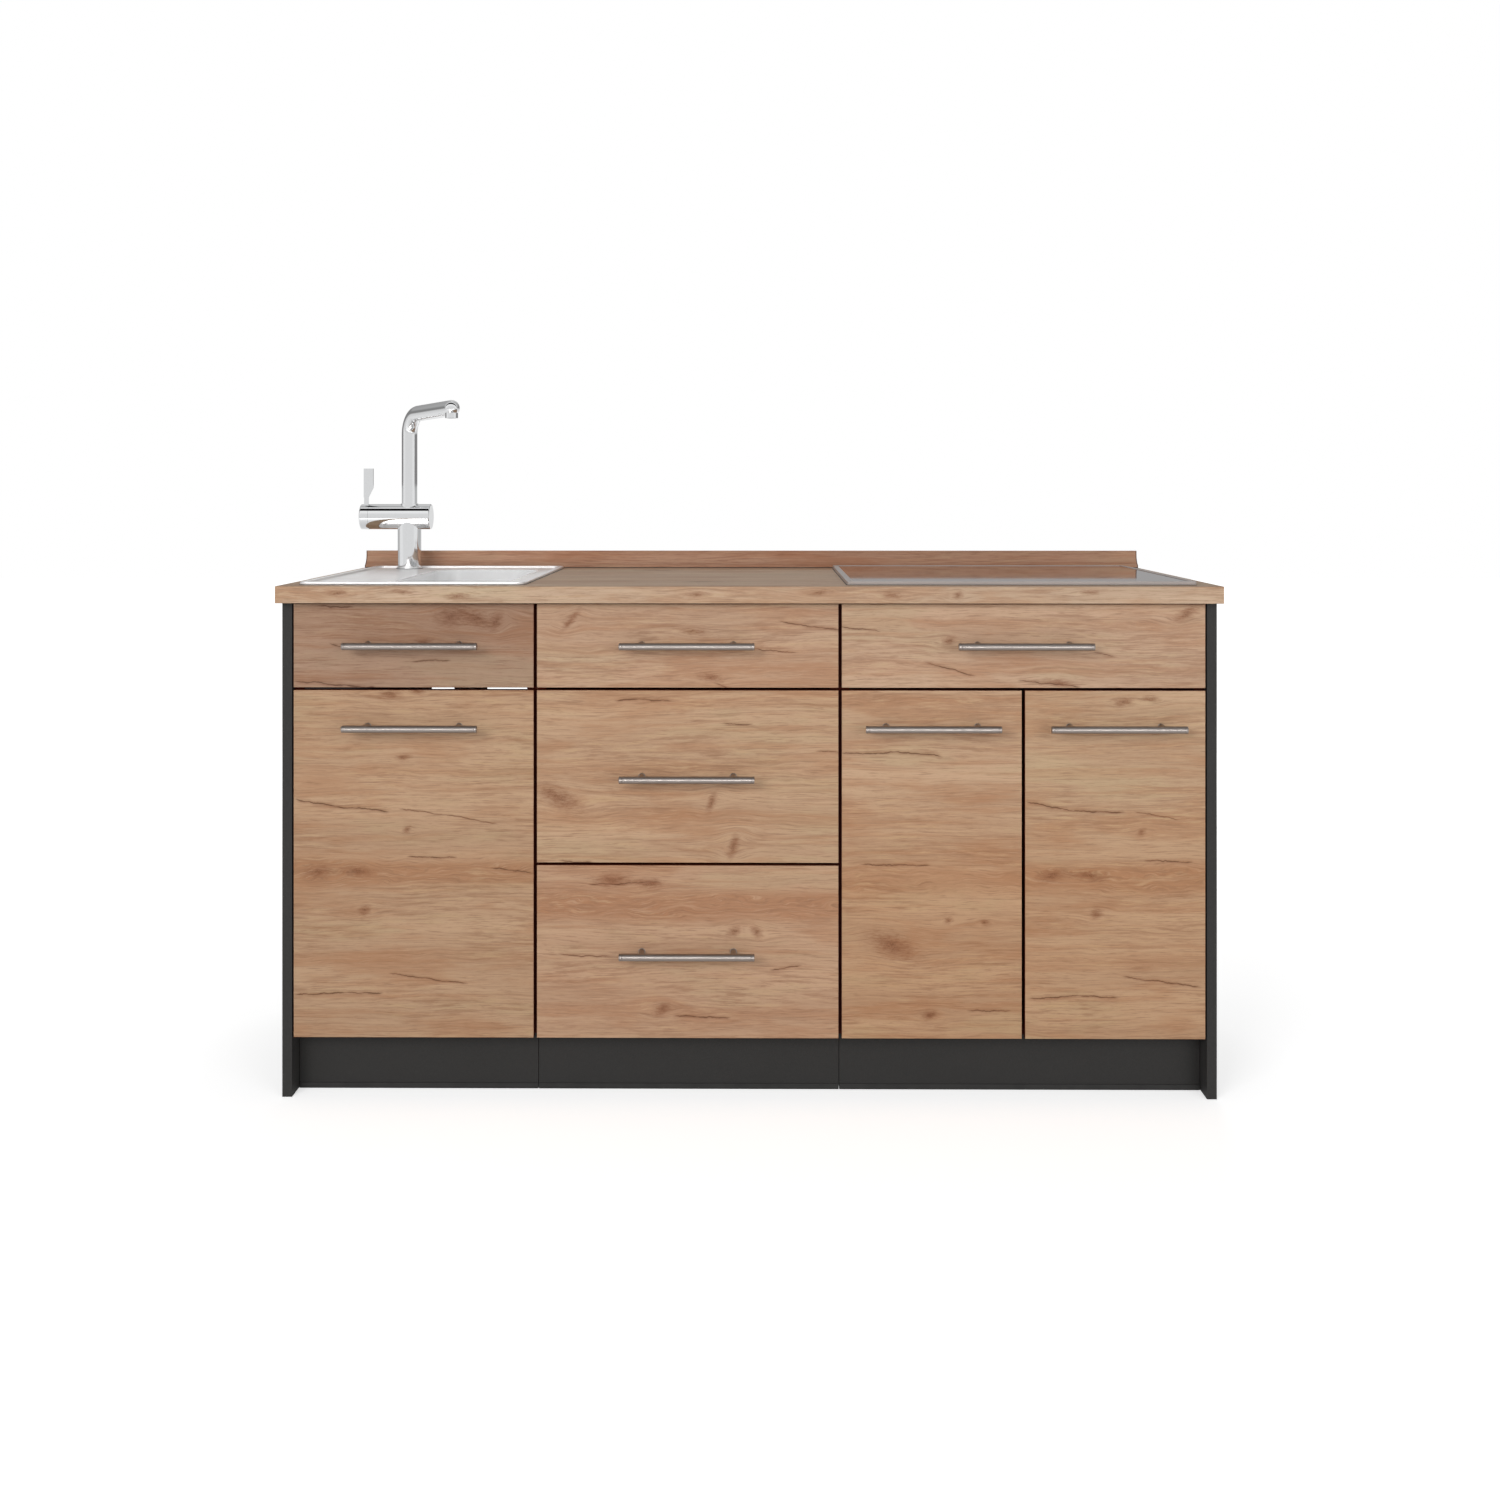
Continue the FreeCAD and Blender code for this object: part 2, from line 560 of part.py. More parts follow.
def handle(xc, z):
    """Round bar on two posts, with the screw heads behind the front."""
    y_bar = Y_FACE - HANDLE_AXIS
    bar = rod(HANDLE_BAR_R, vec(xc - HANDLE_L / 2, y_bar, z), HANDLE_L, ALONG_X)
    solids = [bar]
    for side in (-1, 1):
        x = xc + side * HANDLE_POST_PITCH / 2
        post = rod(HANDLE_POST_R, vec(x, y_bar, z), HANDLE_AXIS, ALONG_Y)
        solids.append(post.cut(bar))
        solids.append(rod(HANDLE_SCREW_HEAD_R, vec(x, Y_REAR_FACE, z),
                          HANDLE_SCREW_HEAD_H, ALONG_Y))
    return solids


UPPER_Z = (UPPER_ROW_Z + ROW_GAP / 2, Z_UNDER_TOP - FRONT_TOP_PLAY)
LOWER_Z = (FRONT_LOW, UPPER_ROW_Z - ROW_GAP / 2)
MIDDLE_Z = (MIDDLE_ROW_Z + ROW_GAP / 2, LOWER_Z[1])
BOTTOM_Z = (FRONT_LOW, MIDDLE_ROW_Z - ROW_GAP / 2)
HALF_GAP = FRONT_GAP / 2
DOOR_SPANS = {"sink_door": (SINK_X[0] + HALF_GAP, SINK_X[1] - HALF_GAP),
              "hob_door_left": (HOB_X[0] + HALF_GAP, HOB_XC - HALF_GAP),
              "hob_door_right": (HOB_XC + HALF_GAP, HOB_X[1] - HALF_GAP)}
HINGED_RIGHT = ("hob_door_right",)
HINGE_HEIGHTS = (LOWER_Z[0] + HINGE_FROM_END, LOWER_Z[1] - HINGE_FROM_END)


def make_plain_fronts():
    fronts = {"sink_front": (SINK_X, UPPER_Z), "top_drawer_front": (DRAWER_X, UPPER_Z),
              "middle_drawer_front": (DRAWER_X, MIDDLE_Z),
              "bottom_drawer_front": (DRAWER_X, BOTTOM_Z), "hob_drawer_front": (HOB_X, UPPER_Z)}
    for name, (unit, z) in fronts.items():
        save(name, front_board(unit[0] + HALF_GAP, unit[1] - HALF_GAP, z[0], z[1]))


def make_handles():
    places = {"sink_front": (sum(SINK_X) / 2, Z_UPPER_HANDLE),
              "top_drawer": (sum(DRAWER_X) / 2, Z_UPPER_HANDLE),
              "middle_drawer": (sum(DRAWER_X) / 2, sum(MIDDLE_Z) / 2),
              "bottom_drawer": (sum(DRAWER_X) / 2, sum(BOTTOM_Z) / 2),
              "hob_drawer": (HOB_XC, Z_UPPER_HANDLE)}
    for name, span in DOOR_SPANS.items():
        places[name] = (sum(span) / 2, LOWER_Z[1] - DOOR_HANDLE_DROP)
    for name, (x, z) in places.items():
        save("handle_" + name, *handle(x, z))


def make_doors():
    """Doors with blind holes for the hinge cups, the cups, and their arms."""
    arms = []
    for name, (x0, x1) in DOOR_SPANS.items():
        inward = -1 if name in HINGED_RIGHT else 1
        edge = x1 if inward < 0 else x0
        cabinet_edge = edge - inward * HALF_GAP
        door = front_board(x0, x1, LOWER_Z[0], LOWER_Z[1])
        cups = []
        for z in HINGE_HEIGHTS:
            xc = edge + inward * HINGE_CUP_FROM_EDGE
            hole_d = HINGE_CUP_D + HINGE_CUP_PLAY
            door = door.cut(rod(HINGE_CUP_R + HINGE_CUP_PLAY, vec(xc, Y_REAR_FACE - hole_d, z),
                                hole_d, ALONG_Y))
            bottom = vec(xc, Y_REAR_FACE - HINGE_CUP_D, z)
            cup = tube(HINGE_CUP_R, HINGE_CUP_R - HINGE_CUP_WALL, bottom, HINGE_CUP_D, ALONG_Y)
            cup = cup.fuse(rod(HINGE_CUP_R, bottom, HINGE_CUP_WALL, ALONG_Y))
            flange = block(xc - HINGE_FLANGE_W / 2, xc + HINGE_FLANGE_W / 2, Y_REAR_FACE,
                           Y_REAR_FACE + HINGE_FLANGE_T, z - HINGE_FLANGE_H / 2,
                           z + HINGE_FLANGE_H / 2)
            cups.append(cup.fuse(flange))
            arms.append(hinge_arm(cabinet_edge, inward, z))
        save(name, door)
        save(name + "_hinge_cups", *cups)
    save("hinge_arms", *arms)


def hinge_arm(cabinet_edge, inward, z):
    """Mounting plate on the cabinet side and the arm that reaches the cup."""
    y_tip = Y_REAR_FACE + HINGE_FLANGE_T + HINGE_PLAY
    wall = cabinet_edge + inward * BOARD_T
    plate_x = sorted((wall, wall + inward * HINGE_PLATE_T))
    arm_x = sorted((plate_x[0] if inward < 0 else plate_x[1],
                    (plate_x[0] if inward < 0 else plate_x[1]) + inward * HINGE_ARM_W))
    y_plate = Y_CARCASS + HINGE_PLATE_BACK
    plate = block(plate_x[0], plate_x[1], y_plate, y_plate + HINGE_PLATE_L,
                  z - HINGE_PLATE_H / 2, z + HINGE_PLATE_H / 2)
    arm = block(arm_x[0], arm_x[1], y_tip, y_tip + HINGE_ARM_L,
                z - HINGE_ARM_H / 2, z + HINGE_ARM_H / 2)
    return plate.fuse(arm)


# ---- drawers ----------------------------------------------------------------
def mirror_to(unit, shape):
    """The same runner part on the cabinet's right-hand side."""
    return shape.mirror(vec(sum(unit) / 2, 0, 0), ALONG_X)


def cabinet_runner(unit, z):
    """Angle rail on the cabinet's left side with the front roller."""
    wall = unit[0] + BOARD_T
    y1 = Y_CARCASS + FRONT_STANDOFF + RUNNER_L
    y0 = y1 - RUNNER_L
    web = block(wall, wall + RUNNER_T, y0, y1, z, z + RUNNER_H)
    foot_w = RUNNER_W - RUNNER_LEDGE_SHORT
    ledge = block(wall, wall + foot_w, y0, y1, z, z + RUNNER_T)
    z_roller = track_z(z) - ROLLER_PLAY - ROLLER_R
    y_roller = y0 + ROLLER_FROM_END
    x_roller = wall + RUNNER_W - ROLLER_FROM_DRAWER - ROLLER_W
    roller = rod(ROLLER_R, vec(x_roller, y_roller, z_roller), ROLLER_W, ALONG_X)
    axle = rod(ROLLER_AXLE_R, vec(wall + RUNNER_T, y_roller, z_roller),
               x_roller - wall - RUNNER_T, ALONG_X)
    play = ROLLER_SLOT_PLAY
    slot = rod(ROLLER_R + play, vec(x_roller - play, y_roller, z_roller),
               ROLLER_W + 2 * play, ALONG_X)
    return [web.fuse(ledge).cut(slot).fuse(axle), roller]


def track_z(z_runner):
    """Underside of the drawer's track above the runner's ledge."""
    return z_runner + RUNNER_T + 2 * ROLLER_PLAY + 2 * ROLLER_R


def drawer_side(unit, z_base, height):
    """Bent steel side on the left: wall, base flange, and the roller track."""
    x_wall = unit[0] + BOARD_T + RUNNER_W
    y0 = Y_REAR_FACE
    y1 = y0 + DRAWER_L
    t = DRAWER_SIDE_T
    wall = block(x_wall, x_wall + t, y0, y1, z_base - t, z_base + height)
    flange = block(x_wall, x_wall + BASE_FLANGE_W, y0, y1, z_base - t, z_base)
    z_track = track_z(z_base)
    x_lip = unit[0] + BOARD_T + RUNNER_T + ROLLER_PLAY
    y_track = Y_CARCASS + FRONT_STANDOFF
    track = block(x_lip, x_wall, y_track, y1, z_track, z_track + RUNNER_T)
    lip = block(x_lip, x_lip + RUNNER_T, y_track, y1, z_track - TRACK_LIP, z_track)
    z_roller = z_base + RUNNER_T + ROLLER_PLAY + ROLLER_R
    y_roller = y1 - ROLLER_FROM_END
    x_roller = unit[0] + BOARD_T + RUNNER_W - ROLLER_FROM_DRAWER - ROLLER_W
    axle = rod(ROLLER_AXLE_R, vec(x_roller + ROLLER_W, y_roller, z_roller),
               x_wall - x_roller - ROLLER_W, ALONG_X)
    roller = rod(ROLLER_R, vec(x_roller, y_roller, z_roller), ROLLER_W, ALONG_X)
    return [wall.fuse([flange, track, lip, axle]), roller]


def drawer_boards(unit, z_base, height):
    inset = BOARD_T + RUNNER_W + DRAWER_SIDE_T + DRAWER_BASE_PLAY
    x0 = unit[0] + inset
    x1 = unit[1] - inset
    y1 = Y_REAR_FACE + DRAWER_L
    base = block(x0, x1, Y_REAR_FACE, y1, z_base, z_base + DRAWER_BASE_T)
    back = block(x0, x1, y1 - BOARD_T, y1, z_base + DRAWER_BASE_T, z_base + height)
    return [base, back]


def make_drawers():
    drawers = {"top_drawer": (DRAWER_X, SMALL_DRAWER_Z, SMALL_DRAWER_H),
               "middle_drawer": (DRAWER_X, MIDDLE_DRAWER_Z, DEEP_DRAWER_H),
               "bottom_drawer": (DRAWER_X, BOTTOM_DRAWER_Z, DEEP_DRAWER_H),
               "hob_drawer": (HOB_X, SMALL_DRAWER_Z, HOB_DRAWER_H)}
    runners = []
    for name, (unit, z, height) in drawers.items():
        left = drawer_side(unit, z, height)
        save(name + "_sides", *(left + [mirror_to(unit, s) for s in left]))
        save(name + "_boards", *drawer_boards(unit, z, height))
        rails = cabinet_runner(unit, z)
        runners += rails + [mirror_to(unit, s) for s in rails]
    save("cabinet_runners", *runners)


# ---- sink -------------------------------------------------------------------
def make_sink():
    z_rim = HEIGHT + SINK_RIM_H
    deck = rounded_block(SINK_X0, SINK_X1, SINK_Y0, SINK_Y1, HEIGHT, z_rim, SINK_CORNER_R)
    top_edges = [e for e in deck.Edges if e.BoundBox.ZMin > z_rim - 1e-6]
    deck = deck.makeFillet(SINK_RIM_H / 2, top_edges)
    rim = SINK_RIM_W
    deck = deck.cut(rounded_block(SINK_X0 + rim, SINK_X1 - rim, SINK_Y0 + rim, SINK_Y1 - rim,
                                  Z_DECK, z_rim + THROUGH, SINK_CORNER_R - SINK_RIM_WALL))
    under = rim + SINK_RIM_WALL
    deck = deck.cut(rounded_block(SINK_X0 + under, SINK_X1 - under, SINK_Y0 + under,
                                  SINK_Y1 - under, HEIGHT - THROUGH, Z_DECK - SINK_SHEET,
                                  SINK_CORNER_R - SINK_RIM_WALL))
    deck = deck.cut(rounded_block(BOWL_X0, BOWL_X1, BOWL_Y0, BOWL_Y1, HEIGHT - THROUGH, z_rim,
                                  BOWL_CORNER_R))
    deck = deck.cut(rod(TAP_HOLE_R, vec(TAP_X, TAP_Y, HEIGHT - THROUGH), SINK_RIM_H + 2 * THROUGH))
    save("sink_deck", deck)

    outer = bowl_solid(BOWL_FIT, Z_BOWL)
    inner = bowl_solid(BOWL_FIT + SINK_SHEET, Z_BOWL + SINK_SHEET)
    hole = rod(WASTE_R + WASTE_HOLE_PLAY, vec(WASTE_X, WASTE_Y, Z_BOWL - THROUGH),
               SINK_SHEET + 2 * THROUGH)
    save("sink_bowl", outer.cut(inner).cut(hole))


def bowl_solid(inset, z0):
    body = rounded_block(BOWL_X0 + inset, BOWL_X1 - inset, BOWL_Y0 + inset, BOWL_Y1 - inset,
                         z0, Z_DECK, BOWL_CORNER_R - inset)
    low = [e for e in body.Edges if e.BoundBox.ZMax < z0 + 1e-6]
    return body.makeFillet(BOWL_FLOOR_R - inset, low)


def make_waste():
    """Strainer cup under the bowl, its lift-out basket, and the bottle trap."""
    z_seat = Z_BOWL + SINK_SHEET
    base = vec(WASTE_X, WASTE_Y, 0)
    z_cup = z_seat - WASTE_CUP_H
    flange = tube(WASTE_FLANGE_R, WASTE_R - WASTE_WALL, base + vec(0, 0, z_seat), WASTE_FLANGE_T)
    wall = tube(WASTE_R, WASTE_R - WASTE_WALL, base + vec(0, 0, z_cup), WASTE_CUP_H)
    floor = tube(WASTE_R, WASTE_OUTLET_R - WASTE_WALL, base + vec(0, 0, z_cup), WASTE_WALL)
    nut = tube(WASTE_NUT_R, WASTE_R, base + vec(0, 0, Z_BOWL - WASTE_NUT_H), WASTE_NUT_H)
    z_out = z_cup - WASTE_OUTLET_H
    outlet = tube(WASTE_OUTLET_R, WASTE_OUTLET_R - WASTE_WALL, base + vec(0, 0, z_out),
                  WASTE_OUTLET_H)
    save("sink_waste", flange.fuse([wall, floor, outlet]), nut)

    r = WASTE_R - WASTE_WALL - BASKET_PLAY
    z_rim = z_seat + WASTE_FLANGE_T
    z_low = z_rim - BASKET_H
    basket = tube(r, r - BASKET_T, base + vec(0, 0, z_low), BASKET_H)
    plate = rod(r, base + vec(0, 0, z_low), BASKET_T)
    holes = [rod(BASKET_HOLE_R, base + vec(ring * math.cos(a), ring * math.sin(a), z_low - THROUGH),
                 BASKET_T + 2 * THROUGH)
             for ring, count in BASKET_HOLE_RINGS
             for a in [2 * math.pi * k / count for k in range(count)]]
    collar = tube(r + BASKET_LIP, r - BASKET_T, base + vec(0, 0, z_rim + BASKET_PLAY), BASKET_T)
    skirt = tube(r, r - BASKET_T, base + vec(0, 0, z_rim), BASKET_PLAY)
    knob = rod(BASKET_KNOB_R, base + vec(0, 0, z_low), BASKET_KNOB_H + BASKET_T)
    save("sink_basket", basket.fuse([plate.cut(Part.makeCompound(holes)), skirt, collar, knob]))

    make_trap(base, z_out)


def make_trap(base, z_out):
    """Bottle trap: the dip tube hangs in the bottle, the outlet goes to the wall."""
    wall = TRAP_PIPE_WALL
    z_shoulder = z_out - TRAP_DROP
    z_foot = z_shoulder - TRAP_BOTTLE_H
    dip = tube(TRAP_PIPE_R - wall, TRAP_PIPE_R - 2 * wall,
               base + vec(0, 0, z_foot + TRAP_DIP_UP), z_out - z_foot - TRAP_DIP_UP)
    nut = tube(TRAP_NUT_R, TRAP_PIPE_R, base + vec(0, 0, z_out), TRAP_NUT_H)
    collar = tube(TRAP_NUT_R, TRAP_PIPE_R - wall, base + vec(0, 0, z_out - wall), wall)
    bottle = rod(TRAP_BOTTLE_R, base + vec(0, 0, z_foot), TRAP_BOTTLE_H)
    hollow = rod(TRAP_BOTTLE_R - wall, base + vec(0, 0, z_foot + wall), TRAP_BOTTLE_H - 2 * wall)
    z_axis = z_shoulder - TRAP_OUTLET_DROP
    reach = Y_CARCASS_BACK - WASTE_Y
    pipe_start = base + vec(0, 0, z_axis)
    pipe = rod(TRAP_PIPE_R, pipe_start, reach, ALONG_Y)
    bore = rod(TRAP_PIPE_R - wall, pipe_start, reach, ALONG_Y)
    branch = rod(TRAP_BRANCH_R, pipe_start, TRAP_BRANCH_L, ALONG_Y)
    body = bottle.fuse([pipe, branch]).cut(hollow.fuse(bore))
    body = body.cut(rod(TRAP_PIPE_R - wall, base + vec(0, 0, z_shoulder - 2 * wall), 3 * wall))
    save("sink_trap", body, dip, nut.fuse(collar))


# ---- tap --------------------------------------------------------------------
def make_tap():
    axis = vec(TAP_X, TAP_Y, 0)
    foot_z = Z_DECK
    body = rod(TAP_BODY_R, axis + vec(0, 0, foot_z), Z_TAP_AXIS - foot_z)
    barrel_l = TAP_X + TAP_RIGHT - BARREL_X0
    barrel = rod(TAP_BARREL_R, vec(BARREL_X0, TAP_Y, Z_TAP_AXIS), barrel_l, ALONG_X)
    rims = [e for e in barrel.Edges if e.BoundBox.XLength < 1e-6 and e.BoundBox.XMin > TAP_X]
    barrel = barrel.makeFillet(TAP_EDGE_R, rims)
    collar = rod(TAP_COLLAR_R, axis + vec(0, 0, Z_TAP_AXIS), Z_COLLAR - Z_TAP_AXIS)
    foot_ring = rod(TAP_FOOT_R, axis + vec(0, 0, foot_z), TAP_FOOT_H)
    shank = rod(TAP_SHANK_R, axis + vec(0, 0, foot_z - TAP_SHANK_L), TAP_SHANK_L)
    body = body.fuse([barrel, collar, foot_ring, shank])
    socket = rod(TAP_SOCKET_R + TAP_FIT, axis + vec(0, 0, Z_COLLAR - TAP_SOCKET_D), TAP_SOCKET_D)
    spindle_hole = rod(TAP_SPINDLE_R + TAP_FIT, vec(BARREL_X0, TAP_Y, Z_TAP_AXIS),
                       TAP_SPINDLE_L + TAP_SPINDLE_END, ALONG_X)
    waterway = rod(TAP_SHANK_R - TAP_WALL, axis + vec(0, 0, foot_z - TAP_SHANK_L),
                   TAP_SHANK_L + TAP_WATERWAY_UP)
    save("tap_body", body.cut(socket).cut(spindle_hole).cut(waterway))

    nut_top = Z_DECK - SINK_SHEET - TAP_WASHER_T
    washer = tube(TAP_WASHER_R, TAP_SHANK_R + TAP_WASHER_PLAY, axis + vec(0, 0, nut_top),
                  TAP_WASHER_T)
    nut = tube(TAP_NUT_R, TAP_SHANK_R + TAP_NUT_PLAY, axis + vec(0, 0, nut_top - TAP_NUT_H),
               TAP_NUT_H)
    tail_top = foot_z - TAP_SHANK_L + TAP_TAIL_IN
    tails = [rod(TAP_TAIL_R, axis + vec(dx, 0, tail_top - TAP_TAIL_L), TAP_TAIL_L)
             for dx in (-TAP_TAIL_OFFSET, TAP_TAIL_OFFSET)]
    save("tap_fixing", nut, washer, *tails)
    make_lever()
    make_spout(axis)


def make_lever():
    """The cap turns about the barrel's axis; the paddle tilts in its slot."""
    z0 = Z_TAP_AXIS
    centre = vec(CAP_X0, TAP_Y, z0)
    cap = rod(TAP_BARREL_R, centre, TAP_CAP_L, ALONG_X)
    rims = [e for e in cap.Edges
            if e.BoundBox.XLength < 1e-6 and e.BoundBox.XMax < CAP_X0 + TAP_EDGE_R]
    cap = cap.makeFillet(TAP_EDGE_R, rims)
    cap = cap.fuse(rod(TAP_SPINDLE_R, centre + vec(TAP_CAP_L, 0, 0), TAP_SPINDLE_L, ALONG_X))
    pivot = centre + vec(LEVER_PIVOT_IN, 0, LEVER_PIVOT_UP)
    half_slot = LEVER_STEM_T / 2 + LEVER_SLOT_PLAY
    foot_drop = LEVER_STEM_W / 2
    slot = block(CAP_X0 - THROUGH, CAP_X1 - LEVER_SLOT_WALL, TAP_Y - half_slot, TAP_Y + half_slot,
                 pivot.z - foot_drop - LEVER_SLOT_BELOW, z0 + TAP_BARREL_R + THROUGH)
    pin_l = 2 * (half_slot + LEVER_PIN_IN)
    pin = rod(LEVER_PIN_R, pivot - vec(0, pin_l / 2, 0), pin_l, ALONG_Y)
    cap = cap.cut(slot).cut(pin)
    save("tap_cap", cap, pin)

    left = CAP_X0 + LEVER_LEFT_IN
    right = left + LEVER_PADDLE_W
    stem0 = pivot.x - LEVER_STEM_W / 2
    stem1 = pivot.x + LEVER_STEM_W / 2
    z_neck = z0 + LEVER_NECK_TOP
    z_flare = z0 + LEVER_FLARE_TOP
    z_top = z0 + LEVER_TOP
    half_t = LEVER_PADDLE_T / 2
    stem = block(stem0, stem1, TAP_Y - LEVER_STEM_T / 2, TAP_Y + LEVER_STEM_T / 2,
                 pivot.z, z_neck)
    knuckle = rod(foot_drop, pivot - vec(0, LEVER_STEM_T / 2, 0), LEVER_STEM_T, ALONG_Y)
    z_shoulder = z_neck - LEVER_NECK_LAP
    outline = [vec(left, 0, z_shoulder), vec(stem1, 0, z_shoulder), vec(right, 0, z_flare),
               vec(right, 0, z_top), vec(left, 0, z_top)]
    paddle = profile(outline, vec(0, TAP_Y - half_t, 0), vec(0, LEVER_PADDLE_T, 0))
    lever = stem.fuse([knuckle, paddle])
    lever = lever.cut(rod(LEVER_PIN_R + TAP_FIT, pivot - vec(0, pin_l / 2, 0), pin_l, ALONG_Y))
    save("tap_lever", lever)


def spout_path(z_start):
    """Riser, bend and outlet arm as one wire in the spout's upright plane."""
    turn = math.radians(SPOUT_TURN_DEG)
    rise = math.radians(SPOUT_RISE_DEG)
    out = vec(math.cos(turn), math.sin(turn), 0)
    r = SPOUT_BEND_R
    z_bend = HEIGHT + SPOUT_AXIS_H - r * (1 + math.sin(rise)) / math.cos(rise)
    foot_pt = vec(TAP_X, TAP_Y, z_start)
    bend0 = vec(TAP_X, TAP_Y, z_bend)
    centre = bend0 + out * r

    def on_arc(angle):
        return centre - out * (r * math.cos(angle)) + UP * (r * math.sin(angle))
    sweep = math.pi / 2 - rise
    bend1 = on_arc(sweep)
    direction = out * math.cos(rise) + UP * math.sin(rise)
    run = (SPOUT_REACH - (bend1 - bend0).dot(out)) / math.cos(rise)
    end = bend1 + direction * run
    wire = Part.Wire([Part.LineSegment(foot_pt, bend0).toShape(),
                      Part.Arc(bend0, on_arc(sweep / 2), bend1).toShape(),
                      Part.LineSegment(bend1, end).toShape()])
    return wire, end


def swept(wire, r, start):
    ring = Part.Wire([Part.makeCircle(r, start, UP)])
    return wire.makePipeShell([ring], True, False)


def make_spout(axis):
    z_start = Z_COLLAR + TAP_GAP
    wire, end = spout_path(z_start)
    start = vec(TAP_X, TAP_Y, z_start)
    outside = swept(wire, SPOUT_R, start).fuse(Part.makeSphere(SPOUT_R, end))
    tail_z = Z_COLLAR - TAP_SOCKET_D + SPOUT_TAIL_END
    tail = rod(TAP_SOCKET_R, axis + vec(0, 0, tail_z), z_start - tail_z)
    bore_r = SPOUT_R - SPOUT_WALL
    inside = swept(wire, bore_r, start)
    tail_bore = rod(TAP_SOCKET_R - SPOUT_TAIL_WALL, axis + vec(0, 0, tail_z),
                    z_start + SPOUT_SEAT_T - tail_z)
    outlet = rod(AERATOR_R + TAP_FIT, end - vec(0, 0, SPOUT_R + THROUGH), SPOUT_R + THROUGH)
    seat = rod(SPOUT_R, start, SPOUT_SEAT_T)
    spout = outside.cut(inside).fuse([tail, seat]).cut(tail_bore).cut(outlet)
    save("tap_spout", spout)
    low = end - vec(0, 0, SPOUT_R + AERATOR_OUT)
    height = AERATOR_OUT + AERATOR_IN
    ring = tube(AERATOR_R, AERATOR_BORE_R, low, height)
    mesh = rod(AERATOR_BORE_R, low + vec(0, 0, AERATOR_MESH_UP), AERATOR_MESH_T)
    save("tap_aerator", ring.fuse(mesh))


# ---- hob --------------------------------------------------------------------
def centred(w, d, z0, z1, r=0.0):
    x0 = HOB_XC - w / 2
    y0 = HOB_YC - d / 2
    if r:
        return rounded_block(x0, x0 + w, y0, y0 + d, z0, z1, r)
    return block(x0, x0 + w, y0, y0 + d, z0, z1)


def make_hob():
    inner_w = HOB_W - 2 * HOB_FRAME_W
    inner_d = HOB_D - 2 * HOB_FRAME_W
    z_top = HEIGHT + HOB_FRAME_H
    frame = centred(HOB_W, HOB_D, HEIGHT, z_top, HOB_CORNER_R)
    upper = [e for e in frame.Edges if e.BoundBox.ZMin > z_top - 1e-6]
    frame = frame.makeFillet(HOB_EDGE_R, upper)
    frame = frame.cut(centred(inner_w, inner_d, Z_GLASS, z_top + THROUGH))
    frame = frame.cut(centred(inner_w - 2 * HOB_FRAME_LIP, inner_d - 2 * HOB_FRAME_LIP,
                              HEIGHT - THROUGH, Z_GLASS))
    save("hob_frame", frame)
    save("hob_glass", centred(inner_w - 2 * HOB_GLASS_PLAY, inner_d - 2 * HOB_GLASS_PLAY,
                              Z_GLASS, Z_GLASS + HOB_GLASS_T))
    z_case = HEIGHT - HOB_CASE_BOTTOM
    case_top = Z_GLASS - HOB_CASE_PLAY
    t = HOB_CASE_T
    save("hob_case", centred(HOB_CASE_W, HOB_CASE_D, z_case, case_top).cut(
        centred(HOB_CASE_W - 2 * t, HOB_CASE_D - 2 * t, z_case + t, case_top + THROUGH)))
    zones = []
    places = ((LARGE_ZONE_R, -1, -1), (SMALL_ZONE_R, -1, 1),
              (MIDDLE_ZONE_R, 1, 1), (SMALL_ZONE_R, 1, -1))
    for r, sx, sy in places:
        centre = vec(HOB_XC + sx * ZONE_DX, HOB_YC + sy * ZONE_DY, 0)
        z_pan = Z_GLASS - ZONE_PLAY - ZONE_H
        pan = rod(r, centre + vec(0, 0, z_pan), ZONE_H)
        foot_h = z_pan - z_case - t
        zones.append(pan.fuse(rod(ZONE_FOOT_R, centre + vec(0, 0, z_case + t), foot_h)))
    save("hob_heating_zones", *zones)


# ---- small fixings ----------------------------------------------------------
def leaf(x_root, x_tip, y, z_top, is_sideways):
    """Bent spring leaf between a fitted appliance and the worktop's cut edge."""
    t = LEAF_T
    z_low = z_top - LEAF_H
    pts = [(x_root, z_top), (x_root, z_top - t), (x_tip, z_low), (x_tip, z_low + t)]
    if is_sideways:
        outline = [vec(p, y - LEAF_L / 2, z) for p, z in pts]
        return profile(outline, vec(0, 0, 0), vec(0, LEAF_L, 0))
    outline = [vec(y - LEAF_L / 2, p, z) for p, z in pts]
    return profile(outline, vec(0, 0, 0), vec(LEAF_L, 0, 0))


